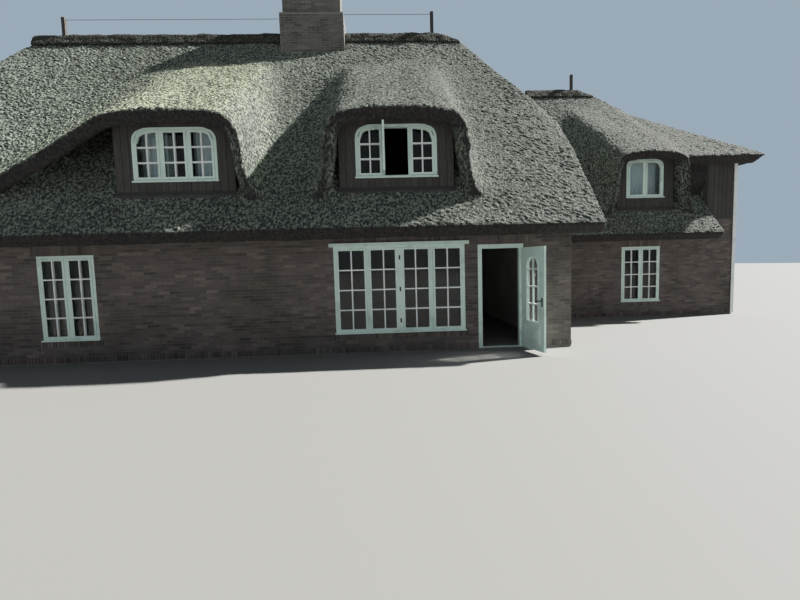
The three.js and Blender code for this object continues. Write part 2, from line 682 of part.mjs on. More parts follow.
function knuckle(z) {
  const geometry = new THREE.CylinderGeometry(HINGE_RADIUS, HINGE_RADIUS, KNUCKLE, 12);
  geometry.rotateX(Math.PI / 2);
  geometry.translate(HINGE.x, HINGE.y, z);
  return solidFrom(geometry);
}

function buildDoor() {
  const { left, right, top } = DOORWAY;
  let frame = box(left + GAP, right - GAP, -HALF_DEPTH, -HALF_DEPTH + FRAME_DEPTH, FLOOR_TOP + GAP, top - GAP)
    .subtract(box(left + JAMB, right - JAMB, -TALL, 0, FLOOR_TOP + SILL_RISE, top - JAMB));
  const glassY = -HALF_DEPTH + LEAF_THICKNESS / 2 - GLASS / 2;
  const bead = panel(doorPane(BEAD + BEAD_LAP), glassY - BEAD_DEPTH, glassY + GLASS + BEAD_DEPTH)
    .subtract(panel(doorPane(0), -TALL, 0))
    .subtract(panel(doorPane(REBATE), glassY - GAP, glassY + GLASS + GAP));
  const spare = SPINDLE + GAP;
  let leaf = box(LEAF_LEFT, LEAF_RIGHT, -HALF_DEPTH, -HALF_DEPTH + LEAF_THICKNESS, LEAF_BOTTOM, LEAF_TOP)
    .subtract(panel(doorPane(BEAD), -TALL, 0))
    .add(bead)
    .subtract(box(HANDLE_X - spare, HANDLE_X + spare, -TALL, 0, HANDLE_Z - spare, HANDLE_Z + spare));
  for (const z of HINGE_HEIGHTS) {
    leaf = leaf.add(knuckle(z)).add(leafArm(z));
    frame = frame.add(knuckle(z - KNUCKLE - GAP)).add(frameArm(z - KNUCKLE - GAP));
  }
  add('door_frame', frame, finish.paint);
  hang(add('door_leaf', leaf, finish.paint));
  hang(add('door_glass', panel(doorPane(REBATE - GAP), glassY, glassY + GLASS), finish.glass));
  hang(add('door_handle', doorHandle(), finish.iron));
}

// The straps that tie a knuckle to the leaf, short of the jamb, and to the frame
function leafArm(z) {
  const x0 = HINGE.x - HINGE_ARM;
  const low = z - KNUCKLE / 2;
  const strap = box(x0, HINGE.x, HINGE.y + 2, HINGE.y + 10, low, low + KNUCKLE);
  return strap.add(box(x0, LEAF_RIGHT, HINGE.y + 4, -HALF_DEPTH + 4, low, low + KNUCKLE));
}

function frameArm(z) {
  return box(HINGE.x, DOORWAY.right - GAP, HINGE.y + 2, -HALF_DEPTH + 5, z - KNUCKLE / 2, z + KNUCKLE / 2);
}

// The round-headed pane of the door, larger or smaller by a margin
function doorPane(margin) {
  const left = LEAF_LEFT + LEAF_GLASS.side - margin;
  const right = LEAF_RIGHT - LEAF_GLASS.side + margin;
  const middle = (left + right) / 2;
  const shape = new THREE.Shape();
  shape.moveTo(left, LEAF_GLASS.bottom - margin);
  shape.lineTo(right, LEAF_GLASS.bottom - margin);
  shape.lineTo(right, LEAF_GLASS.straight);
  const rise = LEAF_GLASS.rise + margin;
  shape.absellipse(middle, LEAF_GLASS.straight, (right - left) / 2, rise, 0, Math.PI, false);
  shape.closePath();
  return shape;
}

// A lever on a long plate on each face, joined by the spindle through the leaf
function doorHandle() {
  const x = HANDLE_X;
  const outerFace = -HALF_DEPTH - GAP;
  const innerFace = -HALF_DEPTH + LEAF_THICKNESS + GAP;
  const { side, below, above, thickness } = HANDLE_PLATE;
  const { length, half, forward } = LEVER;
  const reach = forward + LEVER.thickness / 2;
  let handle = box(x - SPINDLE, x + SPINDLE, outerFace - reach, innerFace + reach,
    HANDLE_Z - SPINDLE, HANDLE_Z + SPINDLE);
  const faces = [
    [outerFace - thickness, outerFace - forward - LEVER.thickness],
    [innerFace, innerFace + forward],
  ];
  for (const [plateY, leverY] of faces) {
    handle = handle
      .add(box(x - side, x + side, plateY, plateY + thickness, HANDLE_Z - below, HANDLE_Z + above))
      .add(box(x - half, x + length, leverY, leverY + LEVER.thickness, HANDLE_Z - half, HANDLE_Z + half));
  }
  return handle;
}

// Turns a piece of the door about its hinge, to where it stands open
function hang(mesh) {
  const pivot = new THREE.Group();
  pivot.position.copy(HINGE);
  pivot.rotation.z = DOOR_OPEN_ANGLE;
  mesh.position.copy(HINGE).negate();
  pivot.add(mesh);
  cottage.add(pivot);
}

function buildChimney() {
  const half = CHIMNEY_WIDTH / 2;
  const front = CHIMNEY_FRONT_Y;
  const back = front + CHIMNEY_DEPTH;
  const tier = (inset, z0, z1) => box(CHIMNEY_X - half + inset, CHIMNEY_X + half - inset,
    front + inset, back - inset, z0, z1);
  let stack = tier(0, WALL_FOOT, CHIMNEY_SHOULDER_Z).add(tier(CHIMNEY_SETBACK, WALL_FOOT, CHIMNEY_TOP_Z));
  for (const corbel of CORBELS) {
    stack = stack.add(tier(corbel.inset, CHIMNEY_TOP_Z - corbel.bottom, CHIMNEY_TOP_Z - corbel.top));
  }
  for (const x of [CHIMNEY_X - FLUE_OFFSET, CHIMNEY_X + FLUE_OFFSET]) {
    const y = front + CHIMNEY_DEPTH / 2;
    stack = stack.subtract(box(x - FLUE_SIZE / 2, x + FLUE_SIZE / 2, y - FLUE_SIZE / 2, y + FLUE_SIZE / 2,
      CHIMNEY_TOP_Z - FLUE_DEPTH, TALL));
  }
  add('chimney', stack, finish.chimney);
}

// Wing

function buildWingWalls() {
  const left = HALF_LENGTH + GAP;
  const back = 2 * WING_RIDGE_Y;
  const taller = RAISED_ROOM_X + GAP;
  const room = wingInside.intersect(box(-REACH / 2, taller - GAP, -TALL, TALL, 0, TALL))
    .add(raisedInside.intersect(box(taller, REACH / 2, -TALL, TALL, 0, TALL)));
  const low = box(left, WING_RIGHT_X, 0, WALL, WALL_FOOT, TALL);
  const seat = dormerSeat(WING_DORMER_X, 0, WING_DORMER_HALF_WIDTH);
  const front = sideWall(low, taller)
    .add(seat)
    .subtract(windowHole(WING_LOWER_WINDOW.left, WING_LOWER_WINDOW, -10, WALL + 10));
  add('wing_front_wall', front, finish.brick);
  const far = box(left, WING_RIGHT_X, back - WALL, back, WALL_FOOT, TALL)
    .subtract(box(0, HALF_LENGTH, 0, HALF_DEPTH, 0, TALL));
  add('wing_back_wall', sideWall(far, taller), finish.brick);
  const end = box(WING_RIGHT_X - WALL, WING_RIGHT_X, WALL + GAP, back - WALL - GAP, WALL_FOOT, TALL);
  add('wing_end_wall', end.intersect(raisedInside), finish.brick);
  const party = box(left, left + WALL, WALL + GAP, back - WALL - GAP, WALL_FOOT, TALL);
  add('wing_party_wall', party.intersect(room), finish.brick);
}

// A long wall of the wing: low under the main slope, one storey taller where the eave is raised
function sideWall(wall, taller) {
  const low = wall.intersect(box(0, taller, -TALL, TALL, 0, TALL)).intersect(wingInside);
  const tall = wall.intersect(box(taller, REACH / 2, -TALL, TALL, 0, TALL)).intersect(raisedInside);
  const joint = wall.intersect(box(taller - 10, taller + 10, -TALL, TALL, 0, ATTIC_FLOOR_BOTTOM));
  return low.add(tall).add(joint);
}

function buildWingRoof() {
  const mainSide = mainVolume(-GAP).intersect(box(-TALL, HALF_LENGTH, -TALL, TALL, 0, TALL));
  const shell = rangeShell(wingVolume, WING_RIDGE_Y, HALF_LENGTH + GAP, RAISED_ROOM_X)
    .subtract(mainSide)
    .subtract(dormerCut(WING_DORMER_X, -GAP, DORMER_ROOM, WING_DORMER_HALF_WIDTH));
  const front = shell.intersect(box(0, REACH / 2, -TALL, WING_RIDGE_Y - GAP / 2, 0, TALL));
  const back = shell.intersect(box(0, REACH / 2, WING_RIDGE_Y + GAP / 2, 2 * TALL, 0, TALL));
  add('wing_roof_front', largestPiece(front), finish.thatch);
  add('wing_roof_back', largestPiece(back), finish.thatch);
  const hollow = raisedVolume(THATCH);
  const attic = hollow.intersect(box(RAISED_ROOM_X, REACH / 2, -TALL, TALL, 0, TALL));
  const porchFront = hollow.intersect(box(0, REACH / 2, -TALL, 0, 0, TALL));
  const porchBack = hollow.intersect(box(0, REACH / 2, 2 * WING_RIDGE_Y, 2 * TALL, 0, TALL));
  const raised = raisedVolume(0)
    .intersect(box(RAISED_LEFT_X, RAISED_EAVE_X, WING_RIDGE_Y - TALL, WING_RIDGE_Y + TALL, 0, TALL))
    .intersect(eaveCut(0, WING_RIDGE_Y - RAISED_EAVE_Y, RAISED_EAVE_Z, FRONT, raisedSlope))
    .intersect(eaveCut(0, WING_RIDGE_Y + RAISED_EAVE_Y, RAISED_EAVE_Z, BACK, raisedSlope))
    .intersect(eaveCut(RAISED_EAVE_X, 0, RAISED_EAVE_Z, RIGHT, raisedHipSlope))
    .subtract(attic)
    .subtract(porchFront)
    .subtract(porchBack)
    .subtract(wingVolume(-GAP).intersect(box(0, RAISED_ROOM_X + GAP, -TALL, 2 * TALL, 0, TALL)))
    .subtract(hoodBody(wingHood));
  add('wing_end_roof', largestPiece(raised), finish.thatch);
}

buildFloors();
buildMainWalls();
buildMainRoof();
buildRidgeCaps();
buildChimney();
buildDormers();
buildWindows();
buildDoor();
buildWingWalls();
buildWingRoof();

export default cottage;
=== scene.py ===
"""A thatched brick cottage, dressed around its fixed model: thatch, heather ridges, brickwork and joinery.

Everything is in metres in the model's own frame: +X to the right along the front, +Y into the house, +Z up.
"""

import itertools
import json
import math
import random

import bmesh
import bpy
import numpy as np
from mathutils import Matrix, Vector
from mathutils.bvhtree import BVHTree
from mathutils.geometry import tessellate_polygon

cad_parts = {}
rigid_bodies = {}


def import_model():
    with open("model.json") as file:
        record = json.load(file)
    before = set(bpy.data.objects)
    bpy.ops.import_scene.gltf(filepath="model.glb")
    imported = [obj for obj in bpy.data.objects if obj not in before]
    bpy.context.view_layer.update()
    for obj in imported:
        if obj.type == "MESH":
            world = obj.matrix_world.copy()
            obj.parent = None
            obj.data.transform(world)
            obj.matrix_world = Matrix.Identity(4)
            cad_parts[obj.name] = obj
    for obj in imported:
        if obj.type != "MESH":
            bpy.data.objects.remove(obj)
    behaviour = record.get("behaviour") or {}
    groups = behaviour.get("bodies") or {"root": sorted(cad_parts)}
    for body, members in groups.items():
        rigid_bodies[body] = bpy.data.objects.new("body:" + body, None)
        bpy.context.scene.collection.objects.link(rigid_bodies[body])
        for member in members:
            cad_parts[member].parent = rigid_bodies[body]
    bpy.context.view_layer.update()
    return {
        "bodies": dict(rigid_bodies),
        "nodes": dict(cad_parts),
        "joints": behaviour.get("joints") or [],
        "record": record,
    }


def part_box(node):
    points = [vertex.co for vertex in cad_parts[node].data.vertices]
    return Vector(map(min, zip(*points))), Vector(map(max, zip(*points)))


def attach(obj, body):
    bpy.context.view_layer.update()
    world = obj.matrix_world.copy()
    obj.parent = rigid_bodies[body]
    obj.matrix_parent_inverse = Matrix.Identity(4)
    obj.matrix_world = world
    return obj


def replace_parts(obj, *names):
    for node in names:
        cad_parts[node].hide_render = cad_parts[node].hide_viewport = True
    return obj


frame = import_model()
nodes = frame["nodes"]

SEED = 11

# The photograph's viewpoint
CAMERA_PLACE = (3.53, -12.98, 1.80)
CAMERA_LENS = 19.35
SENSOR_WIDTH = 36.0
FARTHEST_SEEN = 500.0
CAMERA_DOWN = math.radians(4.6)
CAMERA_RIGHT = math.radians(2.3)
CAMERA_ROLL = math.radians(1.6)

# Light, backdrop and floor
SUN_FROM = Vector((0.75, 0.17, 0.64))
SUN_STRENGTH = 18.9
SUN_SOFTNESS = math.radians(1.5)
SUN_COLOR = (1.0, 0.98, 0.92)
SKY_COLOR = (0.80, 0.90, 1.0, 1.0)
SKY_STRENGTH = 0.324
BACKDROP_COLOR = (0.34, 0.44, 0.54, 1.0)
FLOOR_COLOR = (0.159, 0.159, 0.155, 1.0)
FLOOR_HALF = 90.0
FLOOR_Z = -0.002

# The brightest light that the picture holds, and what it shows for some of the levels below
BRIGHTEST = 4.6
SHOULDER = (
    (0.08, 0.08), (0.16, 0.16), (0.26, 0.258), (0.40, 0.375),
    (0.60, 0.51), (0.90, 0.66), (1.40, 0.79), (2.40, 0.91),
)

# Colours of the finishes, dark to light where there is more than one
REED = ((0.024, 0.029, 0.030), (0.092, 0.107, 0.099), (0.288, 0.328, 0.288))
HEATHER = ((0.010, 0.010, 0.008), (0.034, 0.036, 0.030), (0.090, 0.094, 0.078))
# painted shade: the dark tones laid where thatch and ridges face down or forward
PAINTED_SHADE_REED = ((0.010, 0.009, 0.010), (0.041, 0.037, 0.036))
BUTT_ENDS = (0.54, 0.55, 0.49)
WEATHERED_REED = (0.40, 0.42, 0.35)
MOSS = (0.096, 0.126, 0.081)
# painted light: the warm tint dodged onto the upward faces at the left
PAINTED_LIGHT_TINT = (1.0, 0.97, 0.80)
BRICK = ((0.076, 0.066, 0.066), (0.163, 0.128, 0.118), (0.258, 0.210, 0.186))
CHIMNEY_BRICK = ((0.081, 0.079, 0.074), (0.145, 0.140, 0.129), (0.220, 0.210, 0.192))
BRICK_STAIN = (0.55, 0.56, 0.52)
WALL_MORTAR = (0.170, 0.162, 0.148)
CHIMNEY_MORTAR = (0.265, 0.262, 0.240)
LIMEWASH = ((0.43, 0.41, 0.37), (0.53, 0.52, 0.47))
DARK_BOARDS = ((0.026, 0.024, 0.023), (0.086, 0.082, 0.078))
POSTS = ((0.022, 0.018, 0.016), (0.067, 0.058, 0.052))
FLOOR_BOARDS = ((0.12, 0.075, 0.045), (0.27, 0.19, 0.11))
GREEN_PAINT = ((0.62, 0.82, 0.74), (0.76, 0.93, 0.86))
WHITE_PAINT = (0.88, 0.93, 0.92)
PAINT_DIRT = (0.38, 0.48, 0.44)
GLASS_TINT = ((0.80, 0.88, 0.88), (0.86, 0.92, 0.91))
SLAB = ((0.15, 0.14, 0.126), (0.25, 0.237, 0.215))
SLAB_PITS = (0.1, 0.1, 0.1)
IRON = ((0.018, 0.018, 0.019), (0.060, 0.032, 0.022))
# white cotton tinted pale blue: a painted reflection of the sky in the window glass
COTTON_WITH_PAINTED_SKY_TINT = ((0.70, 0.90, 0.96), (0.85, 0.96, 0.99))
ROOMS = (((-7.2, 7.2), (-3.95, 3.95)), ((7.7, 14.2), (0.25, 8.15)))

# The house, read from the frame
ROOF_LOW, ROOF_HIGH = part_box("main_roof_front")
RIDGE_Z = ROOF_HIGH.z
WALL_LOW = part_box("front_wall")[0]
FACADE_Y = WALL_LOW.y
BACK_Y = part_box("back_wall")[1].y
HOUSE_END_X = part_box("right_gable_wall")[1].x
GABLE_TOP_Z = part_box("left_gable_wall")[1].z
WING_LOW, WING_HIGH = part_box("wing_front_wall")
WING_FAR_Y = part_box("wing_back_wall")[1].y
FRONT, BACK, LEFT, RIGHT = (0, -1, 0), (0, 1, 0), (-1, 0, 0), (1, 0, 0)
DORMERS = ("left", "right", "wing", "back")

# The roof's pitch: the run of a metre of rise, and the rise of a metre of run
SLOPE_RUN = 0.843
SLOPE_RISE = 1.1866

# Thatch: its grids, and the rounding of its edges, valleys and hip ends
THATCH_GRID = 0.053
WING_THATCH_GRID = 0.052
EDGE_ROUNDS = 2
EDGE_PULL = 0.5
VALLEY_ROUNDS = 38
WING_VALLEY_ROUNDS = 60
VALLEY_PULL = 0.9
ROUNDS_WITH_SAME_NORMALS = 12
HIP_EAVE_Z = 5.06
CORNER_ROUNDS = 32
CORNER_PULL = 0.6
CORNER_REACH = 1.0
WELD = 0.0005

# The attic side of the thatch, which has fewer faces
LEAST_OUTER_NORMAL = 0.08
MOST_INNER_NORMAL = 0.05
INNER_MARGIN = 0.06
INNER_SHARE = 0.10
INNER_WEIGHT = 1000.0

# Painted shade and painted light on the thatch: the start and length of each fade, over a part of the normal
# or a place
# painted shade on faces that look down or forward; painted light on a hood's cheeks takes some of it back
SHADE_PAINTED_BELOW = (0.10, -0.25)
SHADE_PAINTED_FACING_FRONT = (0.70, 0.15)
SHADE_PAINTED_UPRIGHT = (0.40, -0.2)
SHADE_PAINTED_UNDER_RIDGE = (0.05, -0.4)
CHEEK_ASIDE = (0.20, 0.35)
CHEEK_UPWARDS = (-0.55, 0.25)
CHEEK_PAINTED_LIGHT = 0.92
# painted light on the upward faces and flanks at the left of the front
PAINTED_LIGHT_LEFT = (2.6, -1.0)
PAINTED_LIGHT_CREST = (0.66, 0.14)
PAINTED_LIGHT_RISE = (0.05, 0.25)
PAINTED_LIGHT_FLANK = (0.25, 0.15)
PAINTED_LIGHT_STRENGTH = 0.54
PAINTED_LIGHT_FLANK_SHARE = 0.6

# Unevenness of the thatch: the height and size of its swells, lumps and tufts, and the height of single ends
SWELLS = (0.016, 0.95)
LUMPS = (0.009, 0.32)
TUFTS = (0.005, 0.13)
SINGLE_ENDS = 0.012
SMOOTHER_UNDER_PAINTED_SHADE = 0.55
DRAWN_DOWN = (1.0, 1.0, 0.6)

# Heather ridges and their loose ends
RIDGE_GRID = 0.028
RIDGE_ROUNDS = 3
RIDGE_LUMPS = (0.020, 0.22)
RIDGE_SINGLE_ENDS = 0.009
CAP_WIDTH_KEPT = 0.70
CAP_HEIGHT_KEPT = 0.76
CAP_END_LENGTH = 0.85
CAP_END_DROP = 0.24
TWIGS_PER_METRE = 46
TWIG_LENGTH = (0.05, 0.14)
TWIG_LEAN = ((-0.7, 0.7), (0.1, 0.8), (-0.9, 0.1))
TWIG_RADIUS = 0.0035
TWIG_SHARES_OUT = (0.96, 0.96, 0.75, 0.35)
TWIG_OFF_END = 0.05
TWIG_OFF_FOOT = 0.06
TWIG_LIFT = 0.95
TWIG_OVER_CREST = 0.02

# The lightning conductor
WIRE_RADIUS = 0.006
WIRE_BELOW_TOP = 0.06
WIRE_INTO_POST = 0.01
WIRE_INTO_CHIMNEY = 0.02
EYE_REACH = (0.06, 0.03)
CHIMNEY_UPPER_SIDE = 0.08

# Rays that find the walls
CAST_FROM = 1.0
CAST_DEPTH = 0.12
CAST_STEP = 0.05
SAME_DEPTH = 0.001
SAME_FACING = 0.99
HALVINGS = 6

# Bricks and joints
BRICK_LENGTH = 0.228
BRICK_HEIGHT = 0.054
JOINT = 0.012
BRICK_PITCH = BRICK_LENGTH + JOINT
COURSE = BRICK_HEIGHT + JOINT
BRICK_PROUD = 0.004
BRICK_DEPTH = 0.020
BRICK_SWAY = 0.0015
BRICK_TONES = (0.5, 0.24)
SHORTEST_BRICK = 0.035
SHORTEST_STRETCH = 1e-6
PROBE_INSET = 0.003
SPAN_INSET = 0.0005
HEADER_HEIGHT = 0.110
COURSE_PROUD = 0.016
SILL_PAST = 0.06
SILL_HEIGHT = 0.112
HEAD_PAST = 0.10
HEAD_BOARD_RISE = 0.052
OFF_JOINERY = 0.004
WALL_FOOT_Z = WALL_LOW.z + 0.002
SOFFIT_Z = 2.94
CLADDING_Z = 2.74
CHIMNEY_SHOWS_Z = 7.72
GABLE_UPPER_FOOT_Z = WALL_FOOT_Z + HEADER_HEIGHT + JOINT + 40 * COURSE
GABLE_UPPER_SPAN = (0.002, 2.4)
GABLE_LOWER_END_Y = -0.01
ROOF_PROBES = (HOUSE_END_X + 0.1, 0.5, 1.5)
FAR_OFF = 9.0

# Boards, the aprons at the feet of the dormers, and the wing's white corner boards
BOARD_WIDTH = 0.135
BOARD_GAP = 0.007
BOARD_PROUD = 0.018
BOARD_SWAY = 0.002
BOARD_EASE = 0.002
BOARD_BEHIND = 0.004
EDGE_INSET = 0.001
DORMER_FOOT_SHOWS = 0.096
APRON_REACH = 0.105
APRON_RISE = 0.036
APRON_SINK = 0.03
APRON_PAST = 0.03
APRON_BEHIND = 0.01
APRON_EASE = 0.004
WING_END_ROOM_X = 13.62
OVER_SOFFIT = 0.02
CORNER_BOARD = {"width": 0.075, "thick": 0.022, "off_wall": 0.021, "top": 4.66}

# Windows, as the model has them
FRAME_FACE = 0.055
MULLION = 0.050
GLASS_LAP = 0.012
GLASS_INSET = 0.050
GLASS_THICKNESS = 0.008
CORNER_WIDTH = 1.25
FRAME_CORNER = 0.8
OPEN_CASEMENT = ("right_dormer_window", 1)

# Casements of each window, panes in each of them, and the height of the head's rounded corners
WINDOWS = {
    "left_dormer_window": (3, (2, 3), 0.28),
    "right_dormer_window": (3, (2, 3), 0.28),
    "back_dormer_window": (3, (2, 3), 0.28),
    "wing_dormer_window": (2, (1, 1), 0.24),
    "big_window": (4, (2, 4), 0.0),
    "left_window": (2, (2, 4), 0.0),
    "back_window": (4, (2, 4), 0.0),
    "wing_lower_window": (2, (2, 4), 0.0),
}

# Casements, and their hinges and sills, whose "near" and "far" are distances out of the face
SASH_CLEARANCE = 0.003
SASH_PROUD = 0.010
SASH_OFF_GLASS = 0.002
STILE = 0.045
BAR = 0.028
BAR_SETBACK = 0.007
BAR_BEHIND = 0.001
BAR_LAP = 0.004
EASE = 0.003
SHARP_ANGLE = 0.8
CORNER_POINTS = 9
LEAST_HEIGHT = 0.002
SASH_WHITE = 0.15
BAR_WHITE = 1.0
PAINTED_HINGES = {
    "shares": (0.16, 0.78), "half_width": 0.011, "near": 0.0, "far": 0.006, "half_height": 0.032,
}
WINDOW_SILL = {"past": 0.02, "near": -0.012, "far": 0.030, "bottom": 0.002, "top": 0.030}
MIDDLE_STRIP = {"half_width": 0.092, "near": 0.0005, "far": 0.014, "off_ends": 0.004}
IRON_HINGES = {
    "shares": (0.12, 0.5, 0.88), "half_width": 0.014, "near": 0.014, "far": 0.026, "half_height": 0.045,
}
IRON_EASE = 0.0015
OPEN_PANE = (-0.0005, 0.0035)

# The door, as it is when closed, and how it stands open about its hinge
DOOR_FACE_Y = -4.2
LEAF_THICKNESS = 0.045
LEAF_LEFT, LEAF_RIGHT = 5.59, 6.355
LEAF_BOTTOM = 0.065
PANE_LEFT, PANE_RIGHT = LEAF_LEFT + 0.21, LEAF_RIGHT - 0.21
PANE_BOTTOM, PANE_SPRING, PANE_RISE = 0.64, 1.66, 0.23
ARCH_POINTS = 18
DOOR_ROWS = 3
DOOR_PANEL = (LEAF_LEFT + 0.15, LEAF_RIGHT - 0.15, 0.20, 0.53)
PANEL_RINGS = ((0.0, 0.0), (0.0, 0.002), (0.060, 0.015))
PANEL_INSET = 0.004
MOULDING = 0.02
MOULDING_DEPTHS = (-0.002, 0.012)
ARCH_MOULDING = (0.034, 0.014)
BAR_OFF_MIDDLE, BAR_BELOW_FACE = 0.0055, 0.003
RAIN_BOARD = {"side": 0.02, "near": 0.0002, "far": 0.022, "bottom": 0.02, "top": 0.065}
DOOR_TONES = {"bars": 0.6, "arch": 0.5, "moulding": 0.8, "panel": 0.1, "rain_board": 0.2}
DOOR_EASE = 0.002
DOOR_HINGE = (6.42, -4.216)
DOOR_OPEN = math.radians(104)

# Curtains: the shares of each window's width that they hang over, their folds, and their rods
CURTAINS = {"left_dormer": ((0.04, 0.33), (0.67, 0.96)), "wing_dormer": ((0.03, 0.50), (0.51, 0.97))}
CURTAIN_STEP = 0.009
CURTAIN_ROWS = 15
FOLD_PITCH = 0.085
FOLD_DEPTH = 0.024
FOLD_SWING = 0.006
FOLD_PHASES = (0, 6.28)
FOLD_DRIFTS = (0.5, 1.1)
DRIFT_WAVE = 9
HEM_DRIFT, HEM_WAVE = 0.5, 5
DEPTH_AT_ROD, DEPTH_GAINED = 0.55, 0.45
CLOTH_THICKNESS = 0.0012
CURTAIN_OFF_WALL = 0.055
CURTAIN_BELOW_ROD = 0.004
CURTAIN_PAST_SILL = 0.05
ROD_OVER_WINDOW = 0.05
ROD_PAST = 0.06
ROD_RADIUS = 0.008
BRACKET_PAST = 0.04
BRACKET_RADIUS = 0.006
BRACKET_INTO_WALL = 0.004


# Small helpers


def linked(name, data):
    """A new object of the scene around some data."""
    thing = bpy.data.objects.new(name, data)
    bpy.context.scene.collection.objects.link(thing)
    return thing


def object_from(name, mesh, material, body="house"):
    """A new piece of the house that rides on one of its bodies."""
    piece = linked(name, mesh)
    mesh.materials.clear()
    mesh.materials.append(material)
    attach(piece, body)
    return piece


def joined(node_names):
    """Some of the model's solids in one bmesh."""
    work = bmesh.new()
    for name in node_names:
        work.from_mesh(nodes[name].data)
    return work


def mesh_from(name, work):
    mesh = bpy.data.meshes.new(name)
    work.to_mesh(mesh)
    work.free()
    return mesh


def modified(mesh, kind, weighted=None, **settings):
    """A mesh as one modifier leaves it, which may weigh some of its points more than the others."""
    helper = linked("helper", mesh)
    if weighted is not None:
        settings["vertex_group"] = helper.vertex_groups.new(name="weighted").name
        helper.vertex_groups[0].add(weighted.tolist(), 1.0, "REPLACE")
    modifier = helper.modifiers.new(kind.lower(), kind)
    for key, value in settings.items():
        setattr(modifier, key, value)
    graph = bpy.context.evaluated_depsgraph_get()
    result = bpy.data.meshes.new_from_object(helper.evaluated_get(graph))
    bpy.data.objects.remove(helper)
    return result


def values_of(items, key, width, kind=np.float32):
    """One property of all the points, edges or values of a mesh, with a row for each of them."""
    values = np.empty(len(items) * width, kind)
    items.foreach_get(key, values)
    return values.reshape(-1, width)


def points_of(mesh):
    return values_of(mesh.vertices, "co", 3).astype(float)


def normals_of(mesh):
    return values_of(mesh.vertex_normals, "vector", 3).astype(float)


def edges_of(mesh):
    return values_of(mesh.edges, "vertices", 2, np.int32)


def set_points(mesh, points):
    mesh.vertices.foreach_set("co", points.astype(np.float32).ravel())
    mesh.update()


def store(mesh, name, values):
    layer = mesh.attributes.new(name, "FLOAT", "POINT")
    layer.data.foreach_set("value", np.asarray(values, np.float32))


def fade(values, start, length):
    """From nought at the start to one at that length past it. A negative length runs the other way."""
    return np.clip((values - start) / length, 0.0, 1.0)


def lattice_value(ix, iy, iz, seed):
    """A repeatable random number from 0 to 1 at each corner of a lattice."""
    mixed = ix * 374761393 + iy * 668265263 + iz * 2147483647 + seed * 1274126177
    mixed = (mixed ^ (mixed >> 13)) * 1274126177
    mixed = mixed ^ (mixed >> 16)
    return (mixed & 0xFFFF) / 65535.0


def soft_noise(points, size, seed):
    """Smooth random values from -1 to 1 with lumps of about that size."""
    scaled = points / size
    cell = np.floor(scaled).astype(np.int64)
    part = scaled - cell
    part = part * part * (3 - 2 * part)
    total = np.zeros(len(points))
    for steps in itertools.product((0, 1), repeat=3):
        wx, wy, wz = (part[:, axis] if step else 1 - part[:, axis] for axis, step in enumerate(steps))
        total += wx * wy * wz * lattice_value(*(cell + steps).T, seed)
    return 2 * total - 1


def to_neighbours(points, edges):
    """The way from each point to the middle of the points that it shares an edge with."""
    count = len(points)
    sums = np.empty_like(points)
    a, b = edges[:, 0], edges[:, 1]
    for axis in range(3):
        column = points[:, axis]
        sums[:, axis] = np.bincount(a, column[b], count) + np.bincount(b, column[a], count)
    degree = np.bincount(a, minlength=count) + np.bincount(b, minlength=count)
    return sums / np.maximum(degree, 1)[:, None] - points


def rectangle(x0, x1, z0, z1):
    return [(x0, z0), (x1, z0), (x1, z1), (x0, z1)]


def inset(box, by):
    """The start, end, bottom and top of a rectangle that is smaller on every side."""
    return box[0] + by, box[1] - by, box[2] + by, box[3] - by


def signed_area(outline):
    pairs = zip(outline, outline[1:] + outline[:1])
    return 0.5 * sum(x0 * z1 - x1 * z0 for (x0, z0), (x1, z1) in pairs)


BLOCK_FACES = ((0, 1, 2, 3), (7, 6, 5, 4), (0, 4, 5, 1), (1, 5, 6, 2), (2, 6, 7, 3), (3, 7, 4, 0))


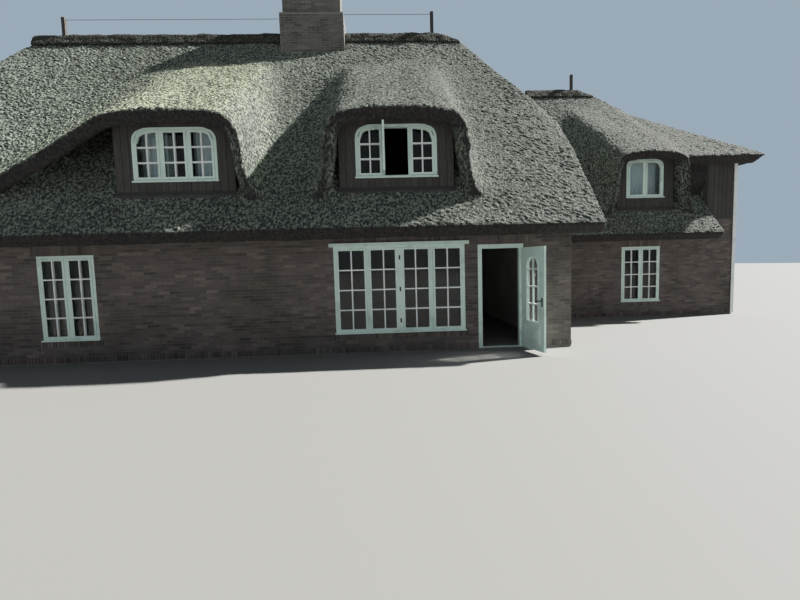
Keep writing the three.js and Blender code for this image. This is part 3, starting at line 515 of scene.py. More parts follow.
class Pile:
    """Closed shapes gathered into one mesh, whose points carry the tone of their shape."""

    def __init__(self):
        self.points = []
        self.faces = []
        self.tones = []

    def solid(self, points, faces, tone=0.5):
        base = len(self.points)
        self.points.extend(points)
        self.faces.extend([base + i for i in face] for face in faces)
        self.tones.extend([tone] * len(points))

    def box(self, x0, x1, y0, y1, z0, z1, tone=0.5):
        points = [(x, y, z) for y in (y0, y1) for x, z in rectangle(x0, x1, z0, z1)]
        self.solid(points, BLOCK_FACES, tone)

    def rod(self, start, end, radius, sides=8, tone=0.5):
        """A straight round bar between two points."""
        start, end = Vector(start), Vector(end)
        along = (end - start).normalized()
        across = along.orthogonal().normalized()
        other = along.cross(across)
        points = []
        for centre in (start, end):
            for k in range(sides):
                turn = 2 * math.pi * k / sides
                points.append(centre + radius * (math.cos(turn) * across + math.sin(turn) * other))
        faces = [(k, (k + 1) % sides, (k + 1) % sides + sides, k + sides) for k in range(sides)]
        faces += [tuple(reversed(range(sides))), tuple(range(sides, 2 * sides))]
        self.solid(points, faces, tone)

    def plate(self, outlines, front, back, tone=0.5):
        """A flat piece from front to back in Y, cut from its first outline, with the others as holes."""
        turned = []
        for i, line in enumerate(outlines):
            turned.append(line if (signed_area(line) > 0) == (i == 0) else line[::-1])
        flat = [point for line in turned for point in line]
        count = len(flat)
        faces = []
        for a, b, c in tessellate_polygon([[Vector((x, z, 0)) for x, z in line] for line in turned]):
            if signed_area([flat[a], flat[b], flat[c]]) < 0:
                a, c = c, a
            faces += [(a, b, c), (c + count, b + count, a + count)]
        base = 0
        for line in turned:
            for i in range(len(line)):
                here, after = base + i, base + (i + 1) % len(line)
                faces.append((here, here + count, after + count, after))
            base += len(line)
        self.solid([(x, y, z) for y in (front, back) for x, z in flat], faces, tone)

    def mesh(self, name, ease=0.0):
        """The shapes as one mesh. Its sharp edges are bevelled where an ease is given."""
        mesh = bpy.data.meshes.new(name)
        mesh.from_pydata([tuple(point) for point in self.points], [], self.faces)
        store(mesh, "tone", self.tones)
        if ease:
            work = bmesh.new()
            work.from_mesh(mesh)
            met = [edge for edge in work.edges if edge.is_manifold]
            sharp = [edge for edge in met if edge.calc_face_angle() > SHARP_ANGLE]
            bmesh.ops.bevel(work, geom=sharp, offset=ease, segments=1, affect="EDGES", clamp_overlap=True)
            work.to_mesh(mesh)
            work.free()
        return mesh

    def piece(self, name, material, slot_name, ease=0.0, turn=None, body="house"):
        """The shapes as one piece of the house, turned into their place if need be."""
        mesh = self.mesh(name, ease)
        if turn is not None:
            mesh.transform(turn)
            mesh.update()
        return object_from(name, mesh, material, body)


# Camera, floor and light


def place_camera():
    data = bpy.data.cameras.new("camera")
    data.lens = CAMERA_LENS
    data.sensor_width = SENSOR_WIDTH
    data.clip_end = FARTHEST_SEEN
    forward = Vector((
        math.sin(CAMERA_RIGHT) * math.cos(CAMERA_DOWN),
        math.cos(CAMERA_RIGHT) * math.cos(CAMERA_DOWN),
        -math.sin(CAMERA_DOWN),
    ))
    level = Vector((math.cos(CAMERA_RIGHT), -math.sin(CAMERA_RIGHT), 0.0))
    upright = level.cross(forward)
    right = level * math.cos(CAMERA_ROLL) - upright * math.sin(CAMERA_ROLL)
    up = level * math.sin(CAMERA_ROLL) + upright * math.cos(CAMERA_ROLL)
    camera = linked("camera", data)
    turn = Matrix((right, up, -forward)).transposed().to_4x4()
    camera.matrix_world = Matrix.Translation(CAMERA_PLACE) @ turn
    bpy.context.scene.camera = camera


def light_stage():
    sun = bpy.data.lights.new("key", "SUN")
    sun.energy = SUN_STRENGTH
    sun.angle = SUN_SOFTNESS
    sun.color = SUN_COLOR
    linked("key", sun).rotation_euler = SUN_FROM.to_track_quat("Z", "Y").to_euler()
    world = bpy.data.worlds.new("studio")
    world.use_nodes = True
    tree = world.node_tree
    ambient = tree.nodes["Background"]
    ambient.inputs["Color"].default_value = SKY_COLOR
    ambient.inputs["Strength"].default_value = SKY_STRENGTH
    backdrop = tree.nodes.new("ShaderNodeBackground")
    backdrop.inputs["Color"].default_value = BACKDROP_COLOR
    seen = tree.nodes.new("ShaderNodeMixShader")
    tree.links.new(tree.nodes.new("ShaderNodeLightPath").outputs["Is Camera Ray"], seen.inputs[0])
    tree.links.new(ambient.outputs[0], seen.inputs[1])
    tree.links.new(backdrop.outputs[0], seen.inputs[2])
    tree.links.new(seen.outputs[0], tree.nodes["World Output"].inputs["Surface"])
    bpy.context.scene.world = world
    soften_highlights(bpy.context.scene.view_settings)


def soften_highlights(view):
    """A shoulder for the sunlit sides; what is darker than the first stop stays as it is."""
    view.view_transform = "Standard"
    view.use_curve_mapping = True
    mapping = view.curve_mapping
    mapping.white_level = (BRIGHTEST, BRIGHTEST, BRIGHTEST)
    curve = mapping.curves[3]
    curve.points[0].location = (0.0, 0.0)
    curve.points[1].location = (1.0, 1.0)
    for light, shown in SHOULDER:
        curve.points.new(light / BRIGHTEST, shown)
    mapping.update()


def lay_floor():
    mesh = bpy.data.meshes.new("floor")
    corners = rectangle(-FLOOR_HALF, FLOOR_HALF, -FLOOR_HALF, FLOOR_HALF)
    mesh.from_pydata([(x, y, FLOOR_Z) for x, y in corners], [], [(0, 1, 2, 3)])
    mesh.materials.append(Shader("floor_finish", 0.9).finish(FLOOR_COLOR))
    linked("floor", mesh)


# Materials


class Shader:
    """A Principled material whose nodes are added one call at a time."""

    COLOR_SOCKETS = (6, 7)
    COLOR_RESULT = 2

    def __init__(self, name, roughness, others=()):
        self.material = bpy.data.materials.new(name)
        self.material.use_nodes = True
        self.tree = self.material.node_tree
        self.surface = self.tree.nodes["Principled BSDF"]
        for socket, value in {"Roughness": roughness, **dict(others)}.items():
            self.surface.inputs[socket].default_value = value
        self.place = self.add("TexCoord").outputs["Object"]

    def add(self, kind, inputs=(), **settings):
        node = self.tree.nodes.new("ShaderNode" + kind)
        for key, value in settings.items():
            setattr(node, key, value)
        for key, value in dict(inputs).items():
            self.feed(node.inputs[key], value)
        return node

    def feed(self, socket, value):
        if isinstance(value, bpy.types.NodeSocket):
            self.tree.links.new(value, socket)
        else:
            socket.default_value = value

    def scaled(self, x, y, z):
        return self.add("Mapping", {"Vector": self.place, "Scale": (x, y, z)}).outputs["Vector"]

    def noise(self, scale, detail=2.0, roughness=0.5, distortion=0.0, place=None):
        values = (place or self.place, scale, detail, roughness, distortion)
        inputs = zip(("Vector", "Scale", "Detail", "Roughness", "Distortion"), values)
        return self.add("TexNoise", inputs).outputs["Fac"]

    def ramp(self, factor, positions, colors):
        node = self.add("ValToRGB", {"Fac": factor})
        band = node.color_ramp
        while len(band.elements) < len(positions):
            band.elements.new(0.5)
        for element, position, color in zip(band.elements, positions, colors):
            element.position = position
            element.color = (*color, 1.0)
        return node.outputs["Color"]

    def grey_ramp(self, factor, low, high):
        return self.ramp(factor, (low, high), ((0.0, 0.0, 0.0), (1.0, 1.0, 1.0)))

    def mix(self, factor, a, b, mode="MIX"):
        node = self.add("Mix", data_type="RGBA", blend_type=mode)
        self.feed(node.inputs[0], factor)
        for socket, value in zip(self.COLOR_SOCKETS, (a, b)):
            self.feed(node.inputs[socket], (*value, 1.0) if isinstance(value, tuple) else value)
        return node.outputs[self.COLOR_RESULT]

    def blend(self, factor, low, high, a, b, mode="MIX"):
        """From a to b while the factor goes from low to high."""
        return self.mix(self.grey_ramp(factor, low, high), a, b, mode)

    def math(self, operation, *values):
        node = self.add("Math", operation=operation)
        for socket, value in zip(node.inputs, values):
            self.feed(socket, value)
        return node.outputs["Value"]

    def attribute(self, name):
        return self.add("Attribute", attribute_name=name).outputs["Fac"]

    def bump(self, height, strength, distance, below=None):
        inputs = {"Height": height, "Strength": strength, "Distance": distance}
        if below is not None:
            inputs["Normal"] = below
        return self.add("Bump", inputs).outputs["Normal"]

    def finish(self, color, normal=None, roughness=None):
        for socket, value in (("Base Color", color), ("Normal", normal), ("Roughness", roughness)):
            if value is not None:
                self.feed(self.surface.inputs[socket], value)
        return self.material


def thatch_material(name, tones, mossy):
    """Weathered reed: butt ends as grains, drawn out a little down the slope, with painted shade and painted
    light where the mesh marks them.
    """
    shader = Shader(name, 0.92, {"Diffuse Roughness": 1.0})
    drawn = shader.scaled(*DRAWN_DOWN)
    grains = shader.noise(22.0, detail=3.0, roughness=0.70, place=drawn)
    ends = shader.add("TexVoronoi", {"Vector": drawn, "Scale": 60.0}).outputs["Color"]
    end_tone = shader.add("SeparateColor", {"Color": ends}).outputs["Red"]
    weather = shader.noise(0.55, detail=4.0, roughness=0.6)
    moss = shader.noise(2.6, detail=3.0, roughness=0.6)
    straw = shader.ramp(grains, (0.44, 0.505, 0.575), tones)
    speckled = shader.blend(end_tone, 0.10, 0.95, straw, BUTT_ENDS, "OVERLAY")
    aged = shader.blend(weather, 0.35, 0.7, speckled, WEATHERED_REED, "MULTIPLY")
    green = shader.math("MULTIPLY", shader.grey_ramp(moss, 0.52, 0.74), mossy)
    mossed = shader.mix(green, shader.mix(0.55, speckled, aged), MOSS)
    # painted light: upward faces at the left lightened
    painted_lit = shader.mix(shader.attribute("painted_light"), mossed, PAINTED_LIGHT_TINT, "DODGE")
    # painted shade: darker reed on the faces that look down or forward
    painted_shade_tone = shader.ramp(grains, (0.40, 0.62), PAINTED_SHADE_REED)
    color = shader.mix(shader.attribute("painted_shade"), painted_lit, painted_shade_tone)
    rough = shader.bump(grains, 1.0, 0.055)
    return shader.finish(color, shader.bump(end_tone, 0.7, 0.010, rough))


def brick_material(name, tones):
    shader = Shader(name, 0.88)
    mottle = shader.noise(42.0, detail=4.0, roughness=0.65)
    stain = shader.noise(1.3, detail=3.0, roughness=0.6)
    fired = shader.ramp(shader.attribute("tone"), (0.0, 0.55, 1.0), tones)
    mottled = shader.blend(mottle, 0.38, 0.72, shader.mix(0.5, fired, tones[0]), fired)
    weathered = shader.blend(stain, 0.42, 0.70, mottled, BRICK_STAIN, "MULTIPLY")
    return shader.finish(weathered, shader.bump(mottle, 0.5, 0.004))


def within(shader, place, room):
    """One inside a rectangle of the plan, given as its ranges of X and Y, and nought outside it."""
    result = 1.0
    for axis, (low, high) in zip("XY", room):
        for test, bound in (("GREATER_THAN", low), ("LESS_THAN", high)):
            result = shader.math("MULTIPLY", result, shader.math(test, place[axis], bound))
    return result


def wall_material(name, mortar, limewashed=True):
    """Mortar on the outside of a wall and, where there are rooms behind it, limewash inside them."""
    shader = Shader(name, 0.93)
    sand = shader.noise(55.0, detail=4.0, roughness=0.7)
    color = shader.blend(sand, 0.35, 0.65, tuple(0.45 * value for value in mortar), mortar)
    if limewashed:
        place = shader.add("SeparateXYZ", {"Vector": shader.place}).outputs
        indoors = shader.math("MAXIMUM", *(within(shader, place, room) for room in ROOMS))
        damp = shader.noise(0.9, detail=3.0)
        color = shader.mix(indoors, color, shader.blend(damp, 0.3, 0.7, *LIMEWASH))
    return shader.finish(color, shader.bump(sand, 0.4, 0.004))


def board_material(name, dark, light, scale=(1.0, 1.0, 0.08)):
    """Stained wood with its grain along Z, or along another axis by the scale given."""
    shader = Shader(name, 0.82)
    grain = shader.noise(70.0, detail=5.0, roughness=0.65, distortion=0.6, place=shader.scaled(*scale))
    weather = shader.noise(1.6, detail=3.0)
    wood = shader.ramp(grain, (0.32, 0.70), (dark, light))
    shaded = shader.mix(shader.math("MULTIPLY", shader.attribute("tone"), 0.7), wood, dark)
    greying = shader.math("MULTIPLY", shader.grey_ramp(weather, 0.45, 0.75), 0.35)
    return shader.finish(shader.mix(greying, shaded, light), shader.bump(grain, 0.5, 0.003))


def paint_material():
    """Pale green paint over wood, white on the bars, a little worn and dusty."""
    shader = Shader("painted_wood_finish", 0.48)
    brushed = shader.noise(34.0, detail=4.0, roughness=0.6)
    dust = shader.noise(3.2, detail=4.0, roughness=0.65)
    green = shader.blend(brushed, 0.3, 0.7, *GREEN_PAINT)
    clean = shader.mix(shader.attribute("tone"), green, WHITE_PAINT)
    dirt = shader.math("MULTIPLY", shader.grey_ramp(dust, 0.50, 0.74), 0.55)
    roughness = shader.math("MULTIPLY_ADD", shader.grey_ramp(dust, 0.4, 0.7), 0.25, 0.40)
    return shader.finish(shader.mix(dirt, clean, PAINT_DIRT), shader.bump(brushed, 0.18, 0.002), roughness)


def glass_material():
    shader = Shader("glass_finish", 0.03, {"Transmission Weight": 1.0, "IOR": 1.5, "Alpha": 0.45})
    wave = shader.noise(5.0, detail=1.0)
    return shader.finish(shader.mix(wave, *GLASS_TINT), shader.bump(wave, 0.25, 0.004))


def slab_material():
    shader = Shader("slab_finish", 0.9)
    patch = shader.noise(2.2, detail=5.0, roughness=0.62)
    grit = shader.noise(90.0)
    base = shader.blend(patch, 0.3, 0.7, *SLAB)
    color = shader.blend(grit, 0.4, 0.6, shader.mix(0.3, base, SLAB_PITS), base)
    return shader.finish(color, shader.bump(grit, 0.3, 0.002))


def iron_material():
    shader = Shader("black_iron_finish", 0.55, {"Metallic": 0.6})
    pits = shader.noise(160.0, detail=3.0)
    rust = shader.noise(24.0, detail=3.0)
    return shader.finish(shader.blend(rust, 0.55, 0.8, *IRON), shader.bump(pits, 0.25, 0.001))


def curtain_material():
    """Thin white cotton with a fine weave, tinted pale blue as a painted reflection of the sky in the window
    glass.
    """
    shader = Shader("curtain_finish", 0.85, {"Sheen Weight": 0.25})
    warp = shader.noise(420.0, place=shader.scaled(1.0, 1.0, 0.05))
    weft = shader.noise(420.0, place=shader.scaled(0.05, 1.0, 1.0))
    fade_in_sun = shader.noise(4.0)
    weave = shader.bump(shader.math("ADD", warp, weft), 0.3, 0.0008)
    return shader.finish(shader.blend(fade_in_sun, 0.3, 0.7, *COTTON_WITH_PAINTED_SKY_TINT), weave)


# Thatch as one worked mass, from the plain solids of the roof


def inner_faces(points, normals, rooms):
    """Which points belong to the underside of the thatch, inside the walls."""
    inside = np.zeros(len(points), bool)
    for low, high in rooms:
        past_low = points[:, :2] > np.array(low) + INNER_MARGIN
        before_high = points[:, :2] < np.array(high) - INNER_MARGIN
        inside |= (past_low & before_high).all(axis=1)
    return inside & (normals[:, 2] < MOST_INNER_NORMAL)


def thin_inside(mesh, rooms):
    """Fewer faces on the attic side, where nobody sees the thatch."""
    inner = inner_faces(points_of(mesh), normals_of(mesh), rooms)
    ratio = 1.0 - (1.0 - INNER_SHARE) * inner.mean()
    return modified(mesh, "DECIMATE", np.flatnonzero(inner), vertex_group_factor=INNER_WEIGHT, ratio=ratio)


def settle(mesh, corners, valley_rounds):
    """Rounds the edges a little, fills the valleys beside the hoods, and rounds the ends of the hips."""
    points = points_of(mesh)
    edges = edges_of(mesh)
    for _ in range(EDGE_ROUNDS):
        points += EDGE_PULL * to_neighbours(points, edges)
    set_points(mesh, points)
    outer = normals_of(mesh)[:, 2] > LEAST_OUTER_NORMAL
    for turn in range(valley_rounds):
        if turn % ROUNDS_WITH_SAME_NORMALS == 0:
            set_points(mesh, points)
            normals = normals_of(mesh)
        lift = np.maximum(np.einsum("ij,ij->i", to_neighbours(points, edges), normals), 0.0) * outer
        points += VALLEY_PULL * lift[:, None] * normals
    near = np.zeros(len(points))
    for corner in corners:
        distance = np.linalg.norm(points - np.array(corner), axis=1)
        near = np.maximum(near, fade(distance, CORNER_REACH, -CORNER_REACH))
    if corners:
        for _ in range(CORNER_ROUNDS):
            points += (CORNER_PULL * near)[:, None] * to_neighbours(points, edges)
    set_points(mesh, points)


def mark_faces(mesh):
    """Marks painted shade on faces that look down or forward, with painted light taking some of it back on a
    hood's cheeks, and painted light on upward faces at the left.
    """
    x, y, z = points_of(mesh).T
    aside, inwards, upwards = normals_of(mesh).T
    painted_shade_front = fade(-inwards, *SHADE_PAINTED_FACING_FRONT) * fade(upwards, *SHADE_PAINTED_UPRIGHT)
    cheek = fade(np.abs(aside), *CHEEK_ASIDE) * fade(upwards, *CHEEK_UPWARDS)
    store(mesh, "painted_shade", np.maximum(fade(upwards, *SHADE_PAINTED_BELOW), painted_shade_front) * (1.0 - CHEEK_PAINTED_LIGHT * cheek))
    # painted light on the upward faces and raised flanks at the left of the front
    off_slope = z - (RIDGE_Z - np.abs(y) / SLOPE_RUN)
    flank = PAINTED_LIGHT_FLANK_SHARE * fade(off_slope, *PAINTED_LIGHT_RISE) * fade(upwards, *PAINTED_LIGHT_FLANK)
    left_side = fade(x, *PAINTED_LIGHT_LEFT) * (y < 0)
    store(mesh, "painted_light", PAINTED_LIGHT_STRENGTH * left_side * np.maximum(fade(upwards, *PAINTED_LIGHT_CREST), flank))


def roughen(mesh, rooms, seed):
    """Hand-laid unevenness, lumps of reed and single butt ends, on the outer side only."""
    points = points_of(mesh)
    normals = normals_of(mesh)
    rng = np.random.default_rng(seed)
    drawn = points * np.array(DRAWN_DOWN)
    rise = np.zeros(len(points))
    for i, (places, (height, size)) in enumerate(((points, SWELLS), (drawn, LUMPS), (drawn, TUFTS))):
        rise += height * soft_noise(places, size, seed + i)
    rise += SINGLE_ENDS * rng.uniform(-1.0, 1.0, len(points))
    # smoother where shade is painted
    rise *= 1.0 - SMOOTHER_UNDER_PAINTED_SHADE * values_of(mesh.attributes["painted_shade"].data, "value", 1)[:, 0]
    rise[inner_faces(points, normals, rooms)] = 0.0
    set_points(mesh, points + rise[:, None] * normals)


def worked_thatch(name, node_names, grid, rooms, corners, valley_rounds, seed):
    solid = mesh_from(name, joined(node_names))
    whole = modified(solid, "REMESH", mode="VOXEL", voxel_size=grid)
    settle(whole, corners, valley_rounds)
    whole = thin_inside(whole, rooms)
    mark_faces(whole)
    roughen(whole, rooms, seed)
    return whole


def cut_half(mesh, name, keep_back):
    """The front or back half of a mass, closed again along the ridge."""
    work = bmesh.new()
    work.from_mesh(mesh)
    geometry = work.verts[:] + work.edges[:] + work.faces[:]
    bmesh.ops.bisect_plane(
        work, geom=geometry, plane_co=(0, 0, 0), plane_no=(0, 1, 0),
        clear_inner=keep_back, clear_outer=not keep_back,
    )
    bmesh.ops.remove_doubles(work, verts=work.verts, dist=WELD)
    bmesh.ops.holes_fill(work, edges=[edge for edge in work.edges if edge.is_boundary], sides=0)
    bmesh.ops.triangulate(work, faces=[face for face in work.faces if len(face.verts) > 4])
    return mesh_from(name, work)


def build_main_thatch(finish):
    """The front and back of the main roof, each of which replaces some of the solids."""
    roofs = ("main_roof_front", "main_roof_back")
    hoods = ("left_dormer_hood", "right_dormer_hood", "back_dormer_hood")
    rooms = [((-HOUSE_END_X, FACADE_Y), (HOUSE_END_X, -FACADE_Y))]
    hip_y = (RIDGE_Z - HIP_EAVE_Z) * SLOPE_RUN
    corners = [(x, y, HIP_EAVE_Z) for x in (ROOF_LOW.x, ROOF_HIGH.x) for y in (-hip_y, hip_y)]
    whole = worked_thatch("main_thatch", roofs + hoods, THATCH_GRID, rooms, corners, VALLEY_ROUNDS, SEED)
    for side, roof, own_hoods in (("front", roofs[0], hoods[:2]), ("back", roofs[1], hoods[2:])):
        name = "main_thatch_" + side
        half = cut_half(whole, name, keep_back=side == "back")
        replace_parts(object_from(name, half, finish), roof, *own_hoods)


def build_wing_thatch(finish):
    names = ["wing_roof_front", "wing_roof_back", "wing_dormer_hood", "wing_end_roof"]
    rooms = [((WING_LOW.x - 1.0, WING_LOW.y), (WING_HIGH.x, WING_FAR_Y))]
    whole = worked_thatch("wing_thatch", names, WING_THATCH_GRID, rooms, [], WING_VALLEY_ROUNDS, SEED + 20)
    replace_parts(object_from("wing_thatch", whole, finish), *names)


# Heather ridges


def pressed_flat(points, cap, runs_out):
    """Points of a ridge cap, drawn in around its crest, and lower towards an end that runs out."""
    low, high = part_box(cap)
    middle = (low.y + high.y) / 2
    result = points.copy()
    result[:, 1] = middle + CAP_WIDTH_KEPT * (points[:, 1] - middle)
    result[:, 2] = high.z - CAP_HEIGHT_KEPT * (high.z - points[:, 2])
    if runs_out:
        end = fade(points[:, 0], high.x - CAP_END_LENGTH, CAP_END_LENGTH)
        height = (points[:, 2] - low.z) / (high.z - low.z)
        result[:, 2] -= CAP_END_DROP * end ** 2 * height
    return result


def loose_twigs(low, high, seed):
    """Ends of heather that stick out along the edges and the crest of a ridge cap."""
    middle, half = (low.y + high.y) / 2, (high.y - low.y) / 2
    tall = high.z - low.z - TWIG_OFF_FOOT
    loose = Pile()
    draw = random.Random(seed)
    for _ in range(int(TWIGS_PER_METRE * (high.x - low.x))):
        side = draw.choice((-1, 1))
        out = draw.choice(TWIG_SHARES_OUT)
        start = Vector((
            draw.uniform(low.x + TWIG_OFF_END, high.x - TWIG_OFF_END),
            middle + side * half * out,
            low.z + TWIG_OFF_FOOT + (1.0 - out) * TWIG_LIFT * tall,
        ))
        lean = Vector([draw.uniform(*reach) for reach in TWIG_LEAN])
        lean.y *= side
        end = start + lean.normalized() * draw.uniform(*TWIG_LENGTH)
        end.z = min(end.z, high.z + TWIG_OVER_CREST)
        loose.rod(start, end, TWIG_RADIUS, 3, draw.random())
    return loose


def build_ridge(cap, finish, seed, runs_out):
    """A ridge of bundled heather: a rough saddle with loose ends along its edges and crest."""
    mesh = modified(nodes[cap].data.copy(), "REMESH", mode="VOXEL", voxel_size=RIDGE_GRID)
    points = pressed_flat(points_of(mesh), cap, runs_out)
    edges = edges_of(mesh)
    for _ in range(RIDGE_ROUNDS):
        points += EDGE_PULL * to_neighbours(points, edges)
    set_points(mesh, points)
    normals = normals_of(mesh)
    # painted shade on the cap's faces that look down
    store(mesh, "painted_shade", fade(normals[:, 2], *SHADE_PAINTED_UNDER_RIDGE))
    height, size = RIDGE_LUMPS
    rng = np.random.default_rng(seed)
    rise = height * soft_noise(points, size, seed) + RIDGE_SINGLE_ENDS * rng.uniform(-1.0, 1.0, len(points))
    set_points(mesh, points + rise[:, None] * normals)
    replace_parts(object_from(cap + "_heather", mesh, finish), cap)
    ends = loose_twigs(*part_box(cap), seed).mesh(cap + "_loose_ends")
    set_points(ends, pressed_flat(points_of(ends), cap, runs_out))
    object_from(cap + "_loose_ends", ends, finish)


def string_conductor(finish):
    """The taut lightning conductor, from each post of the main ridge to an iron eye on the chimney."""
    chimney_low, chimney_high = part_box("chimney")
    sides = {
        "ridge_stake_left": (1, chimney_low.x + CHIMNEY_UPPER_SIDE),
        "ridge_stake_right": (-1, chimney_high.x - CHIMNEY_UPPER_SIDE),
    }
    for post, (towards, side) in sides.items():
        low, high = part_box(post)
        height = high.z - WIRE_BELOW_TOP
        face = high.x if towards > 0 else low.x
        middle = (low.y + high.y) / 2
        wire = Pile()
        spans = (
            (face - towards * WIRE_INTO_POST, side + towards * WIRE_INTO_CHIMNEY, WIRE_RADIUS),
            (side - towards * EYE_REACH[0], side + towards * EYE_REACH[1], 2 * WIRE_RADIUS),
        )
        for start, end, radius in spans:
            wire.rod((start, middle, height), (end, middle, height), radius)
        wire.piece(post + "_conductor", finish, "black_iron")


# Walls met by rays, and the courses laid on them


def tree_of(node_names):
    work = joined(node_names)
    tree = BVHTree.FromBMesh(work)
    work.free()
    return tree


class WallFace:
    """An upright face of the walls. Courses run along it level, or upwards where it is turned for boards."""

    def __init__(self, outwards, *node_names, turned=False):
        up = Vector((0, 0, 1))
        self.out = Vector(outwards)
        level = up.cross(self.out)
        self.along, self.across = (up, -level) if turned else (level, up)
        self.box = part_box(node_names[0])
        self.plane = max(self.out.dot(corner) for corner in self.box)
        self.tree = tree_of(node_names)

    def reach(self, way):
        """The start and end of the first solid, along the courses or across them."""
        return sorted(way.dot(corner) for corner in self.box)

    def place(self, a, c, out=0.0):
        return self.along * a + self.across * c + self.out * (self.plane + out)

    def depth(self, a, c):
        """How far out the wall's face stands there, or None where it isn't."""
        start = self.place(a, c, CAST_FROM)
        hit, normal, _, distance = self.tree.ray_cast(start, -self.out, CAST_FROM + CAST_DEPTH)
        if hit is None or normal.dot(self.out) < SAME_FACING:
            return None
        return CAST_FROM - distance

    def steady(self, a, c0, c1):
        """The depth across a course, if the face is there from edge to edge."""
        first, second = self.depth(a, c0), self.depth(a, c1)
        if first is None or second is None or abs(first - second) > SAME_DEPTH:
            return None
        return first

    def limit(self, inside, outside, c0, c1, depth):
        for _ in range(HALVINGS):
            middle = (inside + outside) / 2
            found = self.steady(middle, c0, c1)
            if found is not None and abs(found - depth) < SAME_DEPTH:
                inside = middle
            else:
                outside = middle
        return inside

    def runs(self, a0, a1, c0, c1):
        """The stretches of a course where the face is there: start, end and depth of each."""
        count = max(2, math.ceil((a1 - a0) / CAST_STEP))
        marks = [a0 + (a1 - a0) * i / count for i in range(count + 1)]
        found = []
        begun = None
        for i, mark in enumerate(marks):
            depth = self.steady(mark, c0, c1)
            if begun and (depth is None or abs(depth - begun[1]) > SAME_DEPTH):
                found.append((begun[0], self.limit(marks[i - 1], mark, c0, c1, begun[1]), begun[1]))
                begun = None
            if begun is None and depth is not None:
                start = mark if i == 0 else self.limit(mark, marks[i - 1], c0, c1, depth)
                begun = (start, depth)
        if begun:
            found.append((begun[0], marks[-1], begun[1]))
        return found

    def block(self, pile, corners, front, back, tone):
        """A closed block on the face, from its four corners in the order left, right, right, left."""
        points = [self.place(a, c, front) for a, c in corners] + [self.place(a, c, back) for a, c in corners]
        pile.solid(points, BLOCK_FACES, tone)

    def level_box(self, low, high):
        """A box of the house as start, end, foot and head on this face."""
        ends = sorted((self.along.dot(low), self.along.dot(high)))
        return ends[0], ends[1], low.z, high.z


def sway(draw, most=BRICK_SWAY):
    return draw.uniform(-most, most)


def lay_brick(pile, face, a0, a1, c0, c1, depth, proud, draw):
    """One brick, never quite true, and a little proud of the joints."""
    corners = [(a + sway(draw), c + sway(draw)) for a, c in rectangle(a0, a1, c0, c1)]
    front = depth + proud + sway(draw)
    tone = min(max(draw.gauss(*BRICK_TONES), 0.0), 1.0)
    face.block(pile, corners, front, depth - BRICK_DEPTH, tone)


def without(start, end, taken):
    """What is left of a stretch outside the taken ones."""
    pieces = [(start, end)]
    for low, high in taken:
        halves = [half for a, b in pieces for half in ((a, min(b, low)), (max(a, high), b))]
        pieces = [half for half in halves if half[1] - half[0] > SHORTEST_STRETCH]
    return pieces


def lay_stretchers(pile, face, a0, a1, c0, c1, taken, draw):
    """Running bond over a rectangle of the face, wherever the wall is there."""
    for row in range(int((c1 - c0) / COURSE)):
        low = c0 + row * COURSE
        high = low + BRICK_HEIGHT
        shift = 0.5 * BRICK_PITCH * (row % 2)
        reserved = [(a, b) for a, b, foot, head in taken if foot < high and head > low]
        for start, end, depth in face.runs(a0, a1, low + PROBE_INSET, high - PROBE_INSET):
            for left, right in without(start, end, reserved):
                first = math.floor((left - shift) / BRICK_PITCH)
                last = math.ceil((right - shift) / BRICK_PITCH)
                for k in range(first, last + 1):
                    begin = k * BRICK_PITCH + shift
                    from_a, to_a = max(left, begin), min(right, begin + BRICK_LENGTH)
                    if to_a - from_a > SHORTEST_BRICK:
                        lay_brick(pile, face, from_a, to_a, low, high, depth, BRICK_PROUD, draw)


def lay_on_end(pile, face, a0, a1, c0, c1, proud, draw):
    """A course of bricks on end or on edge, such as a plinth, a sill or the head of an opening."""
    for left, right, depth in face.runs(a0, a1, c0 + PROBE_INSET, c1 - PROBE_INSET):
        count = max(1, round((right - left + JOINT) / COURSE))
        step = (right - left + JOINT) / count
        for k in range(count):
            foot = left + k * step
            lay_brick(pile, face, foot, foot + step - JOINT, c0, c1, depth, proud, draw)


def window_hole(name):
    """The hole of a window in its wall, worked out from its glass."""
    boxes = [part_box(node) for node in nodes if node.startswith(name + "_glass")]
    margin = Vector((FRAME_FACE - GLASS_LAP, 0, FRAME_FACE - GLASS_LAP))
    low = Vector([min(box[0][axis] for box in boxes) for axis in range(3)])
    high = Vector([max(box[1][axis] for box in boxes) for axis in range(3)])
    return low - margin, high + margin


def build_brickwork(name, face, span, top, openings, finish, seed,
                    foot=WALL_FOOT_Z, plinth=True, slot_name="brick", covered=()):
    """A wall face in brick: plinth, sills and heads of its openings, and running bond between them."""
    pile = Pile()
    draw = random.Random(seed)
    a0, a1 = span[0] + SPAN_INSET, span[1] - SPAN_INSET
    taken = list(covered)
    for opening in openings:
        is_door = opening == "door_frame"
        left, right, bottom, head = face.level_box(*(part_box(opening) if is_door else window_hole(opening)))
        head += HEAD_BOARD_RISE if opening == "big_window" else OFF_JOINERY
        courses = [(left - HEAD_PAST, right + HEAD_PAST, head, head + BRICK_LENGTH, BRICK_PROUD)]
        if not is_door:
            foot_z, head_z = bottom - SILL_HEIGHT, bottom - OFF_JOINERY
            courses.append((left - SILL_PAST, right + SILL_PAST, foot_z, head_z, COURSE_PROUD))
        for start, end, low, high, proud in courses:
            lay_on_end(pile, face, start, end, low, high, proud, draw)
            taken.append((start - JOINT, end + JOINT, low - JOINT, high))
    if plinth:
        lay_on_end(pile, face, a0, a1, foot, foot + HEADER_HEIGHT, COURSE_PROUD, draw)
        foot += HEADER_HEIGHT + JOINT
    lay_stretchers(pile, face, a0, a1, foot, top, taken, draw)
    pile.piece(name, finish, slot_name)


